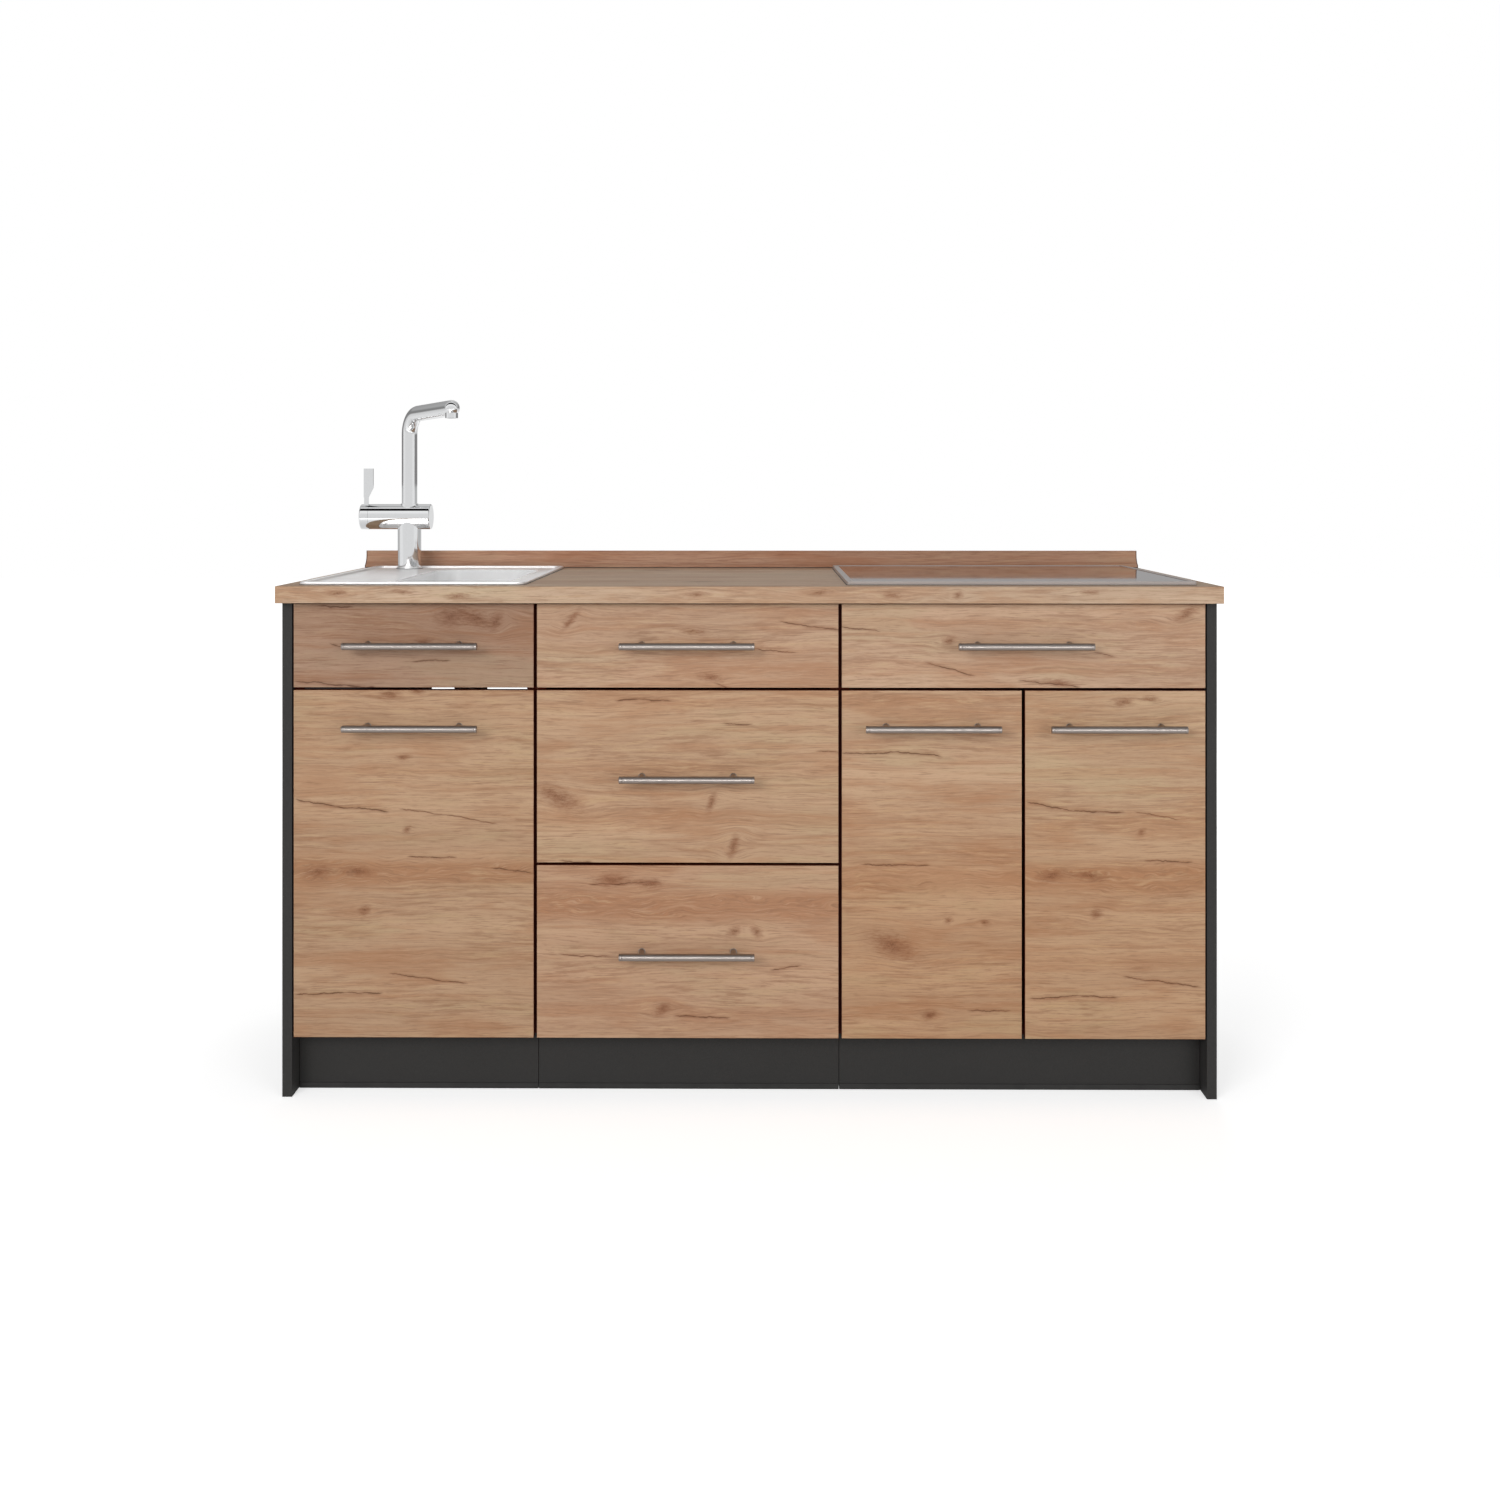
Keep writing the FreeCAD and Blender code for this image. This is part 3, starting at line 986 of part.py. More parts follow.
def make_fixings():
    solids = shelf_pins()
    z = HEIGHT - LEAF_TOP
    case_x = HOB_CASE_W / 2
    cut_x = HOB_CUT_W / 2
    for side in (-1, 1):
        for dy in (-HOB_CASE_D / 4, HOB_CASE_D / 4):
            solids.append(leaf(HOB_XC + side * case_x, HOB_XC + side * cut_x,
                               HOB_YC + dy, z, True))
    z_sheet = Z_DECK - SINK_SHEET
    root = SINK_LIP_REST + SINK_LEAF_REACH
    for share in SINK_LEAF_SHARES:
        y = SINK_Y0 + SINK_D * share
        solids.append(leaf(SINK_X0 + root, SINK_X0 + SINK_LIP_REST, y, z_sheet, True))
        solids.append(leaf(SINK_X1 - root, SINK_X1 - SINK_LIP_REST, y, z_sheet, True))
    x_front = (SINK_X0 + SINK_X1) / 2
    solids.append(leaf(SINK_Y0 + root, SINK_Y0 + SINK_LIP_REST, x_front, z_sheet, False))
    solids.append(leaf(SINK_Y1 - root, SINK_Y1 - SINK_LIP_REST, x_front, z_sheet, False))
    in_from_side = SINK_UNIT_W * SPACER_SHARE
    for x in (SINK_X[0] + in_from_side, SINK_X[1] - in_from_side):
        solids.append(block(x - SPACER_W / 2, x + SPACER_W / 2, Y_REAR_FACE, Y_CARCASS,
                            Z_UNDER_TOP - EDGE_RAIL_H + SPACER_FROM_RAIL_EDGE,
                            Z_UNDER_TOP - SPACER_FROM_RAIL_EDGE))
    save("small_fixings", *solids)


os.makedirs("parts", exist_ok=True)
make_carcasses()
make_top_rails()
make_end_panels()
make_shelf()
make_feet()
make_plinth()
make_worktop()
make_upstand()
make_plain_fronts()
make_handles()
make_doors()
make_drawers()
make_sink()
make_waste()
make_tap()
make_hob()
make_fixings()
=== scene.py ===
import bpy
import bmesh
import math
from mathutils import Matrix, Vector


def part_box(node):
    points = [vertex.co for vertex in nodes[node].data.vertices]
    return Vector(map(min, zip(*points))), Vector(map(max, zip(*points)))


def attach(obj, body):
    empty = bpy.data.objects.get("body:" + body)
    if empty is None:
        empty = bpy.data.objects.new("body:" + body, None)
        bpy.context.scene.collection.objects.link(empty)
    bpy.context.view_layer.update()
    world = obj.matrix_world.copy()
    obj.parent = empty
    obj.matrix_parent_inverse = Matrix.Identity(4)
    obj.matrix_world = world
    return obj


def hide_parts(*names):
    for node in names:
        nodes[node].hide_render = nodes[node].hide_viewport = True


# Looks of the kitchenette unit: metres, X to the right, Y from the fronts to the wall, Z up.

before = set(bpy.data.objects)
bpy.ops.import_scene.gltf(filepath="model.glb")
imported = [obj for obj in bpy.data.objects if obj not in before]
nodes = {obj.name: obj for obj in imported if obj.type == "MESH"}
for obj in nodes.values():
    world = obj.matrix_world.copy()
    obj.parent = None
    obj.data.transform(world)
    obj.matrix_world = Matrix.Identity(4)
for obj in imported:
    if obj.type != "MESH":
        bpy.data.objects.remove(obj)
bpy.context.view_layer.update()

# ---- places taken over from the CAD part ------------------------------------
Y_FRONT, Y_FRONT_REAR = -0.271, -0.255      # faces of the doors and drawer fronts
LEFT, SINK_END, HOB_START, RIGHT = -0.750, -0.350, 0.150, 0.750     # the cabinets' sides
CABINETS = ((LEFT, SINK_END), (SINK_END, HOB_START), (HOB_START, RIGHT))
BOARD_T = 0.016
HANDLES = ("sink_front", "sink_door", "top_drawer", "middle_drawer", "bottom_drawer",
           "hob_drawer", "hob_door_left", "hob_door_right")

# ---- small tools ------------------------------------------------------------


def srgb(r, g, b):
    """A colour picked on screen, 0 to 255, as the linear one shaders use."""
    def lin(c):
        c /= 255
        return c / 12.92 if c <= 0.04045 else ((c + 0.055) / 1.055) ** 2.4
    return (lin(r), lin(g), lin(b), 1.0)


class Tree:
    """A node tree with one call per node."""

    def __init__(self, data):
        data.use_nodes = True
        self.data = data
        self.nodes = data.node_tree.nodes
        self.links = data.node_tree.links
        self.nodes.clear()

    def add(self, kind, **props):
        """A new shader node of one kind."""
        node = self.nodes.new("ShaderNode" + kind)
        for key, value in props.items():
            setattr(node, key, value)
        return node

    def put(self, socket, value):
        """Links a node or socket to a socket, or sets the socket's own value."""
        if isinstance(value, bpy.types.Node):
            value = value.outputs[0]
        if isinstance(value, bpy.types.NodeSocket):
            self.links.new(value, socket)
        elif value is not None:
            socket.default_value = value

    def math(self, op, a, b=None, c=None):
        node = self.add("Math", operation=op)
        for socket, value in zip(node.inputs, (a, b, c)):
            self.put(socket, value)
        return node.outputs[0]

    def times(self, a, b):
        return self.math("MULTIPLY", a, b)

    def total(self, *values):
        result = values[0]
        for value in values[1:]:
            result = self.math("ADD", result, value)
        return result

    def apart(self, value, middle):
        """How far a value is from another, without its sign."""
        return self.math("ABSOLUTE", self.math("SUBTRACT", value, middle))

    def length(self, a, b):
        """The length of a flat vector."""
        return self.math("SQRT", self.total(self.times(a, a), self.times(b, b)))

    def place(self):
        """The point on the piece at rest, whole and as its X, Y and Z."""
        node = self.add("TexCoord")
        split = self.add("SeparateXYZ")
        self.put(split.inputs[0], node.outputs["Object"])
        return node.outputs["Object"], split.outputs

    def facing(self):
        """The face's own direction at rest, from the mesh."""
        node = self.add("TexCoord")
        split = self.add("SeparateXYZ")
        self.put(split.inputs[0], node.outputs["Normal"])
        return split.outputs

    def vector(self, x, y, z=0.0):
        node = self.add("CombineXYZ")
        for socket, value in zip(node.inputs, (x, y, z)):
            self.put(socket, value)
        return node.outputs[0]

    def stretched(self, x, y, z=0.0):
        """A coordinate scaled on each axis by a given scale: pairs of (value, scale)."""
        parts = [self.math("MULTIPLY", *p) if isinstance(p, tuple) else p for p in (x, y, z)]
        return self.vector(*parts)

    def noise(self, vec, scale=1.0, detail=2.0, rough=0.5, warp=0.0):
        node = self.add("TexNoise", noise_dimensions="3D")
        for key, value in (("Vector", vec), ("Scale", scale), ("Detail", detail),
                           ("Roughness", rough), ("Distortion", warp)):
            self.put(node.inputs[key], value)
        return node.outputs["Fac"]

    def cells(self, vec, scale):
        node = self.add("TexVoronoi", feature="F1")
        self.put(node.inputs["Vector"], vec)
        node.inputs["Scale"].default_value = scale
        return node.outputs["Distance"]

    def span(self, value, low, high, to_low=0.0, to_high=1.0, smooth=True):
        """Runs from one end to the other while the value runs from low to high."""
        node = self.add("MapRange", clamp=True,
                        interpolation_type="SMOOTHSTEP" if smooth else "LINEAR")
        for socket, v in zip(node.inputs, (value, low, high, to_low, to_high)):
            self.put(socket, v)
        return node.outputs[0]

    def mix(self, fac, a, b, blend="MIX"):
        node = self.add("Mix", data_type="RGBA", blend_type=blend)
        self.put(node.inputs[0], fac)
        self.put(node.inputs[6], a)
        self.put(node.inputs[7], b)
        return node.outputs[2]

    def bump(self, height, depth, strength=1.0):
        node = self.add("Bump")
        node.inputs["Strength"].default_value = strength
        node.inputs["Distance"].default_value = depth
        self.put(node.inputs["Height"], height)
        return node.outputs[0]

    def surface(self, **values):
        """Ends the material with one Principled shader, and gives the material back."""
        shader = self.add("BsdfPrincipled")
        for key, value in values.items():
            self.put(shader.inputs[key.replace("_", " ")], value)
        out = self.add("OutputMaterial")
        self.put(out.inputs[0], shader)
        return self.data


def material(name):
    """A new material, as a tree that is still to be filled."""
    return Tree(bpy.data.materials.new(name))


def dress(mat, *names):
    """Gives CAD nodes or new pieces one material."""
    for name in names:
        target = nodes[name] if isinstance(name, str) else name
        target.data.materials.clear()
        target.data.materials.append(mat)


# ---- oak decor --------------------------------------------------------------
def knot_group():
    """One knot: pushes the grain aside and darkens its heart and rim."""
    group = bpy.data.node_groups.new("knot", "ShaderNodeTree")
    for name in ("X", "V", "X0", "V0", "Half L", "Half H", "Lean"):
        group.interface.new_socket(name, in_out="INPUT", socket_type="NodeSocketFloat")
    for name in ("Push", "Heart", "Core"):
        group.interface.new_socket(name, in_out="OUTPUT", socket_type="NodeSocketFloat")
    t = Tree.__new__(Tree)
    t.nodes, t.links = group.nodes, group.links
    given = group.nodes.new("NodeGroupInput").outputs
    out = group.nodes.new("NodeGroupOutput").inputs
    dx = t.math("SUBTRACT", given["X"], given["X0"])
    dv = t.math("SUBTRACT", given["V"], given["V0"])
    dx = t.math("MULTIPLY_ADD", dv, given["Lean"], dx)
    a = t.math("DIVIDE", dx, given["Half L"])
    b = t.math("DIVIDE", dv, given["Half H"])
    q = t.length(a, b)
    far_a = t.math("DIVIDE", dx, t.math("MULTIPLY_ADD", given["Half L"], 1.6, 0.016))
    far_b = t.math("DIVIDE", dv, t.math("MULTIPLY_ADD", given["Half H"], 1.5, 0.004))
    far = t.total(t.times(far_a, far_a), t.times(far_b, far_b))
    fade = t.math("EXPONENT", t.times(far, -1.0))
    t.put(out["Push"], t.times(t.times(dv, fade), -0.8))
    torn = t.noise(t.stretched((given["X"], 75.0), (given["V"], 310.0)), 1.0, 5.0, 0.7)
    ragged = t.total(q, t.times(t.math("SUBTRACT", torn, 0.5), 3.4))
    t.put(out["Heart"], t.span(ragged, 2.1, 0.0))
    flakes = t.noise(t.vector(given["X"], given["V"]), 420.0, 3.0, 0.7)
    t.put(out["Core"], t.times(t.span(ragged, 0.9, -0.5), t.span(flakes, 0.40, 0.62)))
    return group


KNOT = knot_group()
# The photograph's pixels on the fronts: a known corner, its millimetres, and the scale.
PX_X, PX_Y, MM_X, MM_Z, MM_PER_PX_X, MM_PER_PX_Y = 292.7, 688.5, -747.5, 670.5, 1.6373, 1.636


def at(px, py):
    """A point on the fronts where the photograph has it, in metres."""
    return ((MM_X + (px - PX_X) * MM_PER_PX_X) / 1000,
            (MM_Z - (py - PX_Y) * MM_PER_PX_Y) / 1000)


def cracked(t, colour, x, z, seed, cracks, halo_colour, line_colour):
    """Cracks: dark broken lines with a soft halo."""
    wiggle = t.noise(t.stretched((x, 34.0), (z, 8.0), seed + 21), 1.0, 4.0, 0.6)
    wiggle = t.times(t.math("SUBTRACT", wiggle, 0.5), 0.009)
    broken = t.noise(t.stretched((x, 46.0), (z, 60.0), seed + 23), 1.0, 3.0, 0.6)
    for *points, width in cracks:
        half = width / 2000
        reach = t.span(broken, 0.35, 0.62, half * 0.45, half * 1.5)
        for (ax, ay), (bx, by) in zip(points, points[1:]):
            (x0, z0), (x1, z1) = at(ax, ay), at(bx, by)
            slope = (z1 - z0) / (x1 - x0)
            line = t.math("MULTIPLY_ADD", x, slope, z0 - slope * x0)
            away = t.math("ABSOLUTE", t.total(t.math("SUBTRACT", z, line), wiggle))
            ends = t.times(t.span(x, x0 - 0.005, x0 + 0.008),
                           t.span(x, x1 + 0.005, x1 - 0.008))
            halo = t.times(t.span(away, half * 4.5, half * 0.5), ends)
            colour = t.mix(t.times(halo, 0.35), colour, halo_colour)
            across = t.times(t.span(away, reach, half * 0.15), ends)
            colour = t.mix(t.times(across, 0.78), colour, line_colour)
    return colour


def bare_chipboard(t, obj, colour):
    """Chips on the faces towards the wall, and backing paper underneath."""
    chips = t.cells(obj, 260.0)
    crumbs = t.noise(obj, 900.0, 3.0, 0.7)
    core = t.mix(t.span(chips, 0.15, 0.75), srgb(196, 168, 128), srgb(150, 118, 82))
    core = t.mix(t.times(t.span(crumbs, 0.45, 0.7), 0.6), core, srgb(112, 84, 56))
    paper = t.mix(t.span(crumbs, 0.3, 0.7), srgb(158, 138, 112), srgb(138, 118, 94))
    _, ny, nz = t.facing()
    colour = t.mix(t.span(ny, 0.6, 0.9), colour, core)
    return t.mix(t.span(nz, -0.6, -0.9), colour, paper)


BAND_EDGE, BAND_HEART = 850, 3200     # a band's pixels per metre where it ends and is full
DOOR_LIGHT, DOOR_DARK = 760, 900      # photo rows between which the doors' tone falls


def oak(name, tint, red=0.5, knots=(), cracks=(), bands=(), seed=0.0, raw_back=False,
        gap_shade_edging=None, lower=None):
    """Printed oak laminate, grain along X. Knots are (px, py, half length, half height,
    lean), cracks ((px, py), ... , width), bands (py, half height, strength); lower is what
    the tone is multiplied by in the lower part of a door."""
    t = material(name)
    obj, (x, y, z) = t.place()
    v0 = t.math("ADD", t.math("ADD", z, y), seed)
    # v runs across the grain: bent slowly, by the bands' curls and round each knot.
    slow = t.noise(t.stretched((x, 2.4), (v0, 9.0), seed), 1.0, 3.0, 0.55)
    v = t.math("MULTIPLY_ADD", t.math("SUBTRACT", slow, 0.5), 0.030, v0)
    curl = t.noise(t.stretched((x, 13.0), (v0, 34.0), seed + 2), 1.0, 2.0, 0.5)
    hearts, cores, reds = [], [], []
    offset = seed + Y_FRONT
    for py, half_h, strength in bands:
        away = t.apart(v, at(0, py)[1] + offset)
        inside = t.span(away, half_h / BAND_EDGE, half_h / BAND_HEART)
        reds.append(t.times(inside, strength))
        bend = t.times(t.math("SUBTRACT", curl, 0.5), 0.038 * strength)
        v = t.math("MULTIPLY_ADD", bend, inside, v)
    for px, py, half_l, half_h, lean in knots:
        kx, kz = at(px, py)
        g = t.add("Group", node_tree=KNOT)
        for key, value in (("X", x), ("V", v0), ("X0", kx), ("V0", kz + offset),
                           ("Half L", half_l / 1000), ("Half H", half_h / 1000),
                           ("Lean", -lean)):
            t.put(g.inputs[key], value)
        v = t.math("ADD", v, g.outputs["Push"])
        hearts.append(g.outputs["Heart"])
        cores.append(g.outputs["Core"])
    # The print's layers, from broad clouds to pores.
    broad = t.noise(t.stretched((x, 1.1), (v, 17.0), seed + 3), 1.0, 3.0, 0.6)
    mid = t.noise(t.stretched((x, 3.4), (v, 80.0), seed + 5), 1.0, 4.0, 0.66)
    lines = t.noise(t.stretched((x, 6.0), (v, 300.0), seed + 9), 1.0, 3.0, 0.6)
    flecks = t.noise(t.stretched((x, 15.0), (v, 190.0), seed + 7), 1.0, 4.0, 0.68)
    dashes = t.noise(t.stretched((x, 26.0), (v, 520.0), seed + 11), 1.0, 3.0, 0.6)
    pores = t.noise(t.stretched((x, 70.0), (v, 1300.0), seed + 15), 1.0, 2.0, 0.5)

    def shade(*ks):
        """The front's tint with its red, green and blue each times a share."""
        return srgb(*(min(255, c * k) for c, k in zip(tint, ks)))

    base = shade(1.02, 1.02, 1.02)
    light = shade(1.10, 1.12, 1.13)
    dark = shade(0.83, 0.77, 0.73)
    ruddy = shade(0.965, 0.865, 0.785)
    pale = shade(1.05, 1.10, 1.09)
    streak = shade(0.88, 0.815, 0.77)
    honey = shade(1.10, 1.13, 1.10)
    colour = t.mix(t.span(broad, 0.36, 0.64), light, base)
    patch = t.noise(t.stretched((x, 3.1), (v, 13.0), seed + 13), 1.0, 4.0, 0.62)
    colour = t.mix(t.times(t.span(patch, 0.50, 0.62), 0.32 + 0.42 * red), colour, ruddy)
    colour = t.mix(t.times(t.span(patch, 0.47, 0.36), 0.7), colour, pale)
    colour = t.mix(t.times(t.span(mid, 0.48, 0.68), red), colour, ruddy)
    for band in reds:
        colour = t.mix(band, colour, ruddy)
        ring = t.math("SINE", t.math("MULTIPLY_ADD", curl, 30.0, t.times(v, 620.0)))
        ring = t.times(t.span(ring, 0.30, 0.98), t.span(mid, 0.36, 0.62))
        colour = t.mix(t.times(t.times(ring, band), 0.42), colour, dark)
    colour = t.mix(t.times(t.span(lines, 0.50, 0.72), 0.42), colour, dark)
    colour = t.mix(t.times(t.span(mid, 0.44, 0.28), 0.55), colour, light)
    zone = t.noise(t.stretched((x, 4.2), (v, 15.0), seed + 17), 1.0, 2.0, 0.5)
    lively = t.span(zone, 0.38, 0.62, 0.08, 0.62)
    colour = t.mix(t.times(t.span(flecks, 0.50, 0.62), lively), colour, streak)
    colour = t.mix(t.times(t.span(flecks, 0.47, 0.35), lively), colour, honey)
    colour = t.mix(t.times(t.span(dashes, 0.54, 0.70), 0.62), colour, dark)
    colour = t.mix(t.times(t.span(dashes, 0.46, 0.30), 0.55), colour, light)
    colour = t.mix(t.times(t.span(pores, 0.60, 0.72), 0.45), colour, dark)
    deep = shade(0.73, 0.56, 0.45)
    black = shade(0.45, 0.32, 0.25)
    for heart, core in zip(hearts, cores):
        colour = t.mix(t.times(heart, 0.66), colour, deep)
        colour = t.mix(t.times(core, 0.62), colour, black)
    if cracks:
        colour = cracked(t, colour, x, z, seed, cracks, deep, black)
    if lower:
        fall = t.span(z, at(0, DOOR_LIGHT)[1], at(0, DOOR_DARK)[1])
        colour = t.mix(1.0, colour, t.mix(fall, (1, 1, 1, 1), (*lower, 1)), "MULTIPLY")
    # Painted shade: the fronts' narrow side edges take the dark red-brown of the shaded gaps,
    # with a faint grain.
    if gap_shade_edging:
        nx, nz = (t.math("ABSOLUTE", t.facing()[axis]) for axis in (0, 2))
        side = t.span(t.math("MAXIMUM", nx, nz), 0.35, 0.60)
        band = t.mix(t.span(lines, 0.3, 0.7), srgb(*gap_shade_edging), srgb(*(c * 0.7 for c in gap_shade_edging)))
        colour = t.mix(side, colour, band)
    if raw_back:
        colour = bare_chipboard(t, obj, colour)
    height = t.total(t.times(dashes, 0.5), t.times(pores, -0.6))
    return t.surface(Base_Color=colour, Roughness=t.span(pores, 0.45, 0.7, 0.46, 0.60),
                     Normal=t.bump(height, 0.00018, 0.45), Specular_IOR_Level=0.32)


GAP_SHADE_EDGING = (104, 44, 24)          # the fronts' narrow edges: painted shade, the dark red-brown seen in the gaps
# The carcass boards' front edges, deep in the gaps: painted shade in the same dark red-brown.
CARCASS_GAP_SHADE_EDGING = (88, 26, 12)
dress(oak("oak_sink_front", (161, 130, 108), 0.70, seed=0.3,
          knots=[(452, 616, 20, 13, 0.2), (476, 618, 17, 11, -0.6), (496, 621, 8, 12, 0.3),
                 (424, 642, 12, 5, 0)],
          cracks=[((318, 605), (352, 607), 2.2), ((295, 681), (345, 685), (386, 688), 2.6),
                  ((412, 661), (450, 660), 1.8), ((330, 643), (342, 646), 2)],
          bands=[(628, 34, 0.22)], gap_shade_edging=GAP_SHADE_EDGING), "sink_front")
dress(oak("oak_sink_door", (178, 144, 115), 0.5, seed=1.1,
          knots=[(389, 694, 14, 6, 0.5), (417, 691, 9, 4, -0.5),
                 (407, 830, 5, 5, 0.3), (318, 872, 16, 8, 0.5), (364, 911, 7, 7, 0.2),
                 (403, 757, 9, 4, 0.6), (357, 872, 20, 6, -0.5)],
          cracks=[((295, 800), (335, 807), (388, 811), 2.6),
                  ((400, 809), (445, 815), (497, 824), 1.3),
                  ((408, 857), (456, 858), 2), ((492, 868), (533, 873), 2),
                  ((390, 975), (467, 984), 1.8), ((295, 996), (345, 993), (382, 994), 2.4)],
          bands=[(873, 30, 0.85), (770, 10, 0.3), (958, 14, 0.35)], gap_shade_edging=GAP_SHADE_EDGING), "sink_door")
dress(oak("oak_top_drawer", (184, 151, 125), 0.55, seed=2.3,
          knots=[(571, 620, 5, 13, 0.7), (692, 631, 14, 4, -0.8), (712, 677, 14, 6, -0.8)],
          cracks=[((780, 620), (812, 626), (840, 629), 2), ((756, 648), (797, 652), 1.4),
                  ((716, 683), (735, 689), 1.8)],
          bands=[(645, 12, 0.3), (672, 12, 0.35)], gap_shade_edging=GAP_SHADE_EDGING), "top_drawer_front")
dress(oak("oak_middle_drawer", (183, 149, 120), 0.5, seed=3.7,
          knots=[(558, 797, 22, 17, -1.0), (712, 802, 5, 12, 0.35), (734, 846, 6, 15, 0.25)],
          cracks=[((616, 700), (640, 699), (671, 700), 2.4), ((725, 723), (752, 724), 2.2),
                  ((817, 751), (840, 752), 2), ((560, 861), (592, 862), 2)],
          bands=[(706, 10, 0.3), (818, 14, 0.4), (768, 10, 0.3)], gap_shade_edging=GAP_SHADE_EDGING),
      "middle_drawer_front")
dress(oak("oak_bottom_drawer", (183, 147, 119), 0.55, seed=5.2,
          knots=[(612, 880, 20, 8, 0.4), (650, 884, 18, 6, -0.4), (735, 931, 8, 6, 0.4),
                 (757, 932, 6, 8, -0.4), (663, 1010, 9, 8, 0.5)],
          cracks=[((772, 970), (802, 965), 2.2), ((675, 1016), (730, 1018), 2.2),
                  ((560, 955), (610, 957), 1.6), ((590, 885), (660, 882), 1.8)],
          bands=[(905, 34, 0.8), (1012, 10, 0.35)], gap_shade_edging=GAP_SHADE_EDGING), "bottom_drawer_front")
dress(oak("oak_hob_drawer", (185, 152, 126), 0.5, seed=6.4,
          knots=[(1187, 613, 11, 10, 0.9), (950, 640, 9, 6, 0.5), (1060, 682, 16, 5, -0.6)],
          cracks=[((841, 626), (880, 630), 2.2), ((927, 662), (975, 675), 2),
                  ((1020, 680), (1080, 686), 2.2), ((1095, 651), (1115, 656), 2)],
          bands=[(668, 10, 0.35), (622, 10, 0.25)], gap_shade_edging=GAP_SHADE_EDGING), "hob_drawer_front")
dress(oak("oak_hob_door_left", (185, 151, 122), 0.55, seed=7.9, lower=(0.955, 0.89, 0.82),
          knots=[(949, 920, 5, 4, 0.4), (985, 922, 6, 4, -0.4), (893, 945, 24, 17, -0.9),
                 (930, 1015, 9, 6, 0.3)],
          cracks=[((842, 753), (895, 752), (942, 755), 2.6), ((862, 864), (930, 865), 2),
                  ((969, 1010), (1010, 1010), 2)],
          bands=[(880, 26, 0.5), (700, 10, 0.35)], gap_shade_edging=GAP_SHADE_EDGING), "hob_door_left")
dress(oak("oak_hob_door_right", (186, 153, 123), 0.5, seed=1.1, lower=(0.945, 0.88, 0.83),
          knots=[(1124, 701, 14, 6, 0.5), (1152, 698, 9, 4, -0.5),
                 (1142, 831, 5, 5, 0.3), (1052, 875, 16, 8, 0.5), (1097, 913, 7, 7, 0.2),
                 (1090, 875, 20, 6, -0.5)],
          cracks=[((1027, 801), (1072, 810), (1124, 812), 2.6), ((1136, 811), (1178, 818), 1.3),
                  ((1145, 860), (1192, 861), 2), ((1124, 976), (1200, 986), 1.8),
                  ((1030, 998), (1080, 995), (1117, 997), 2.4)],
          bands=[(876, 30, 0.85), (772, 10, 0.3), (960, 14, 0.35)], gap_shade_edging=GAP_SHADE_EDGING),
      "hob_door_right")
dress(oak("oak_worktop", (188, 160, 135), 0.5, seed=8.6, raw_back=True,
          knots=[(340, 604, 12, 4, 0.4), (405, 603, 12, 3, -0.5), (460, 607, 16, 4, 0.3),
                 (820, 603, 16, 3, 0.4), (892, 606, 12, 4, -0.6), (957, 606, 6, 5, 0.2),
                 (1088, 603, 12, 3, 0.3), (700, 605, 14, 3, 0.4),
                 (430, 420, 30, 14, 0.3), (640, 300, 34, 16, -0.4), (1000, 470, 26, 12, 0.4),
                 (700, 520, 22, 10, 0.3)]), "worktop")
dress(oak("oak_upstand", (177, 137, 113), 0.7, seed=9.3, raw_back=True), "upstand")
dress(oak("oak_upstand_ends", (104, 76, 62), 0.5, seed=9.6), "upstand_end_caps")


# ---- boards -----------------------------------------------------------------
HOLES_Y = (-0.216, 0.224)               # the shelf holes' two columns
HOLE_Z, HOLE_PITCH, HOLE_R = 0.132, 0.032, 0.0025
HOLES_LOW, HOLES_HIGH = 0.180, 0.650


def board(name, colour, speckle=0.12, rough=0.58, holes=False, gap_shade_edging=None):
    """Resin-faced board with a fine pearl; cabinet sides have rows of shelf holes, drawn as
    painted shade: near-black dots.
    """
    t = material(name)
    obj, (_, y, z) = t.place()
    pearl = t.noise(obj, 1400.0, 2.0, 0.6)
    cloud = t.noise(obj, 9.0, 3.0, 0.5)
    low = srgb(*(c * (1 - speckle) for c in colour))
    high = srgb(*(min(255, c * (1 + speckle)) for c in colour))
    tone = t.mix(t.span(pearl, 0.30, 0.70), low, high)
    tone = t.mix(t.times(t.span(cloud, 0.35, 0.75), 0.14), tone, low)
    # Painted shade: faces towards the front take the dark red-brown of the shaded gaps between
    # the fronts.
    if gap_shade_edging:
        tone = t.mix(t.span(t.facing()[1], -0.8, -0.95), tone, srgb(*gap_shade_edging))
    # Painted shade: the shelf holes are near-black dots on the flat side, standing for the shade
    # inside them.
    if holes:
        nx = t.math("ABSOLUTE", t.facing()[0])
        row = t.math("PINGPONG", t.math("SUBTRACT", z, HOLE_Z), HOLE_PITCH / 2)
        column = t.math("MINIMUM", *(t.apart(y, hole_y) for hole_y in HOLES_Y))
        far = t.length(row, column)
        painted_hole_shade = t.times(t.span(far, HOLE_R + 0.0002, HOLE_R - 0.0002), t.span(nx, 0.5, 0.9))
        reach = t.times(t.span(z, HOLES_LOW, HOLES_LOW + 0.001),
                        t.span(z, HOLES_HIGH, HOLES_HIGH - 0.001))
        tone = t.mix(t.times(painted_hole_shade, reach), tone, srgb(8, 7, 6))
    return t.surface(Base_Color=tone, Normal=t.bump(pearl, 0.00008, 0.5), Specular_IOR_Level=0.22,
                     Roughness=t.span(cloud, 0.3, 0.7, rough - 0.02, rough + 0.02))


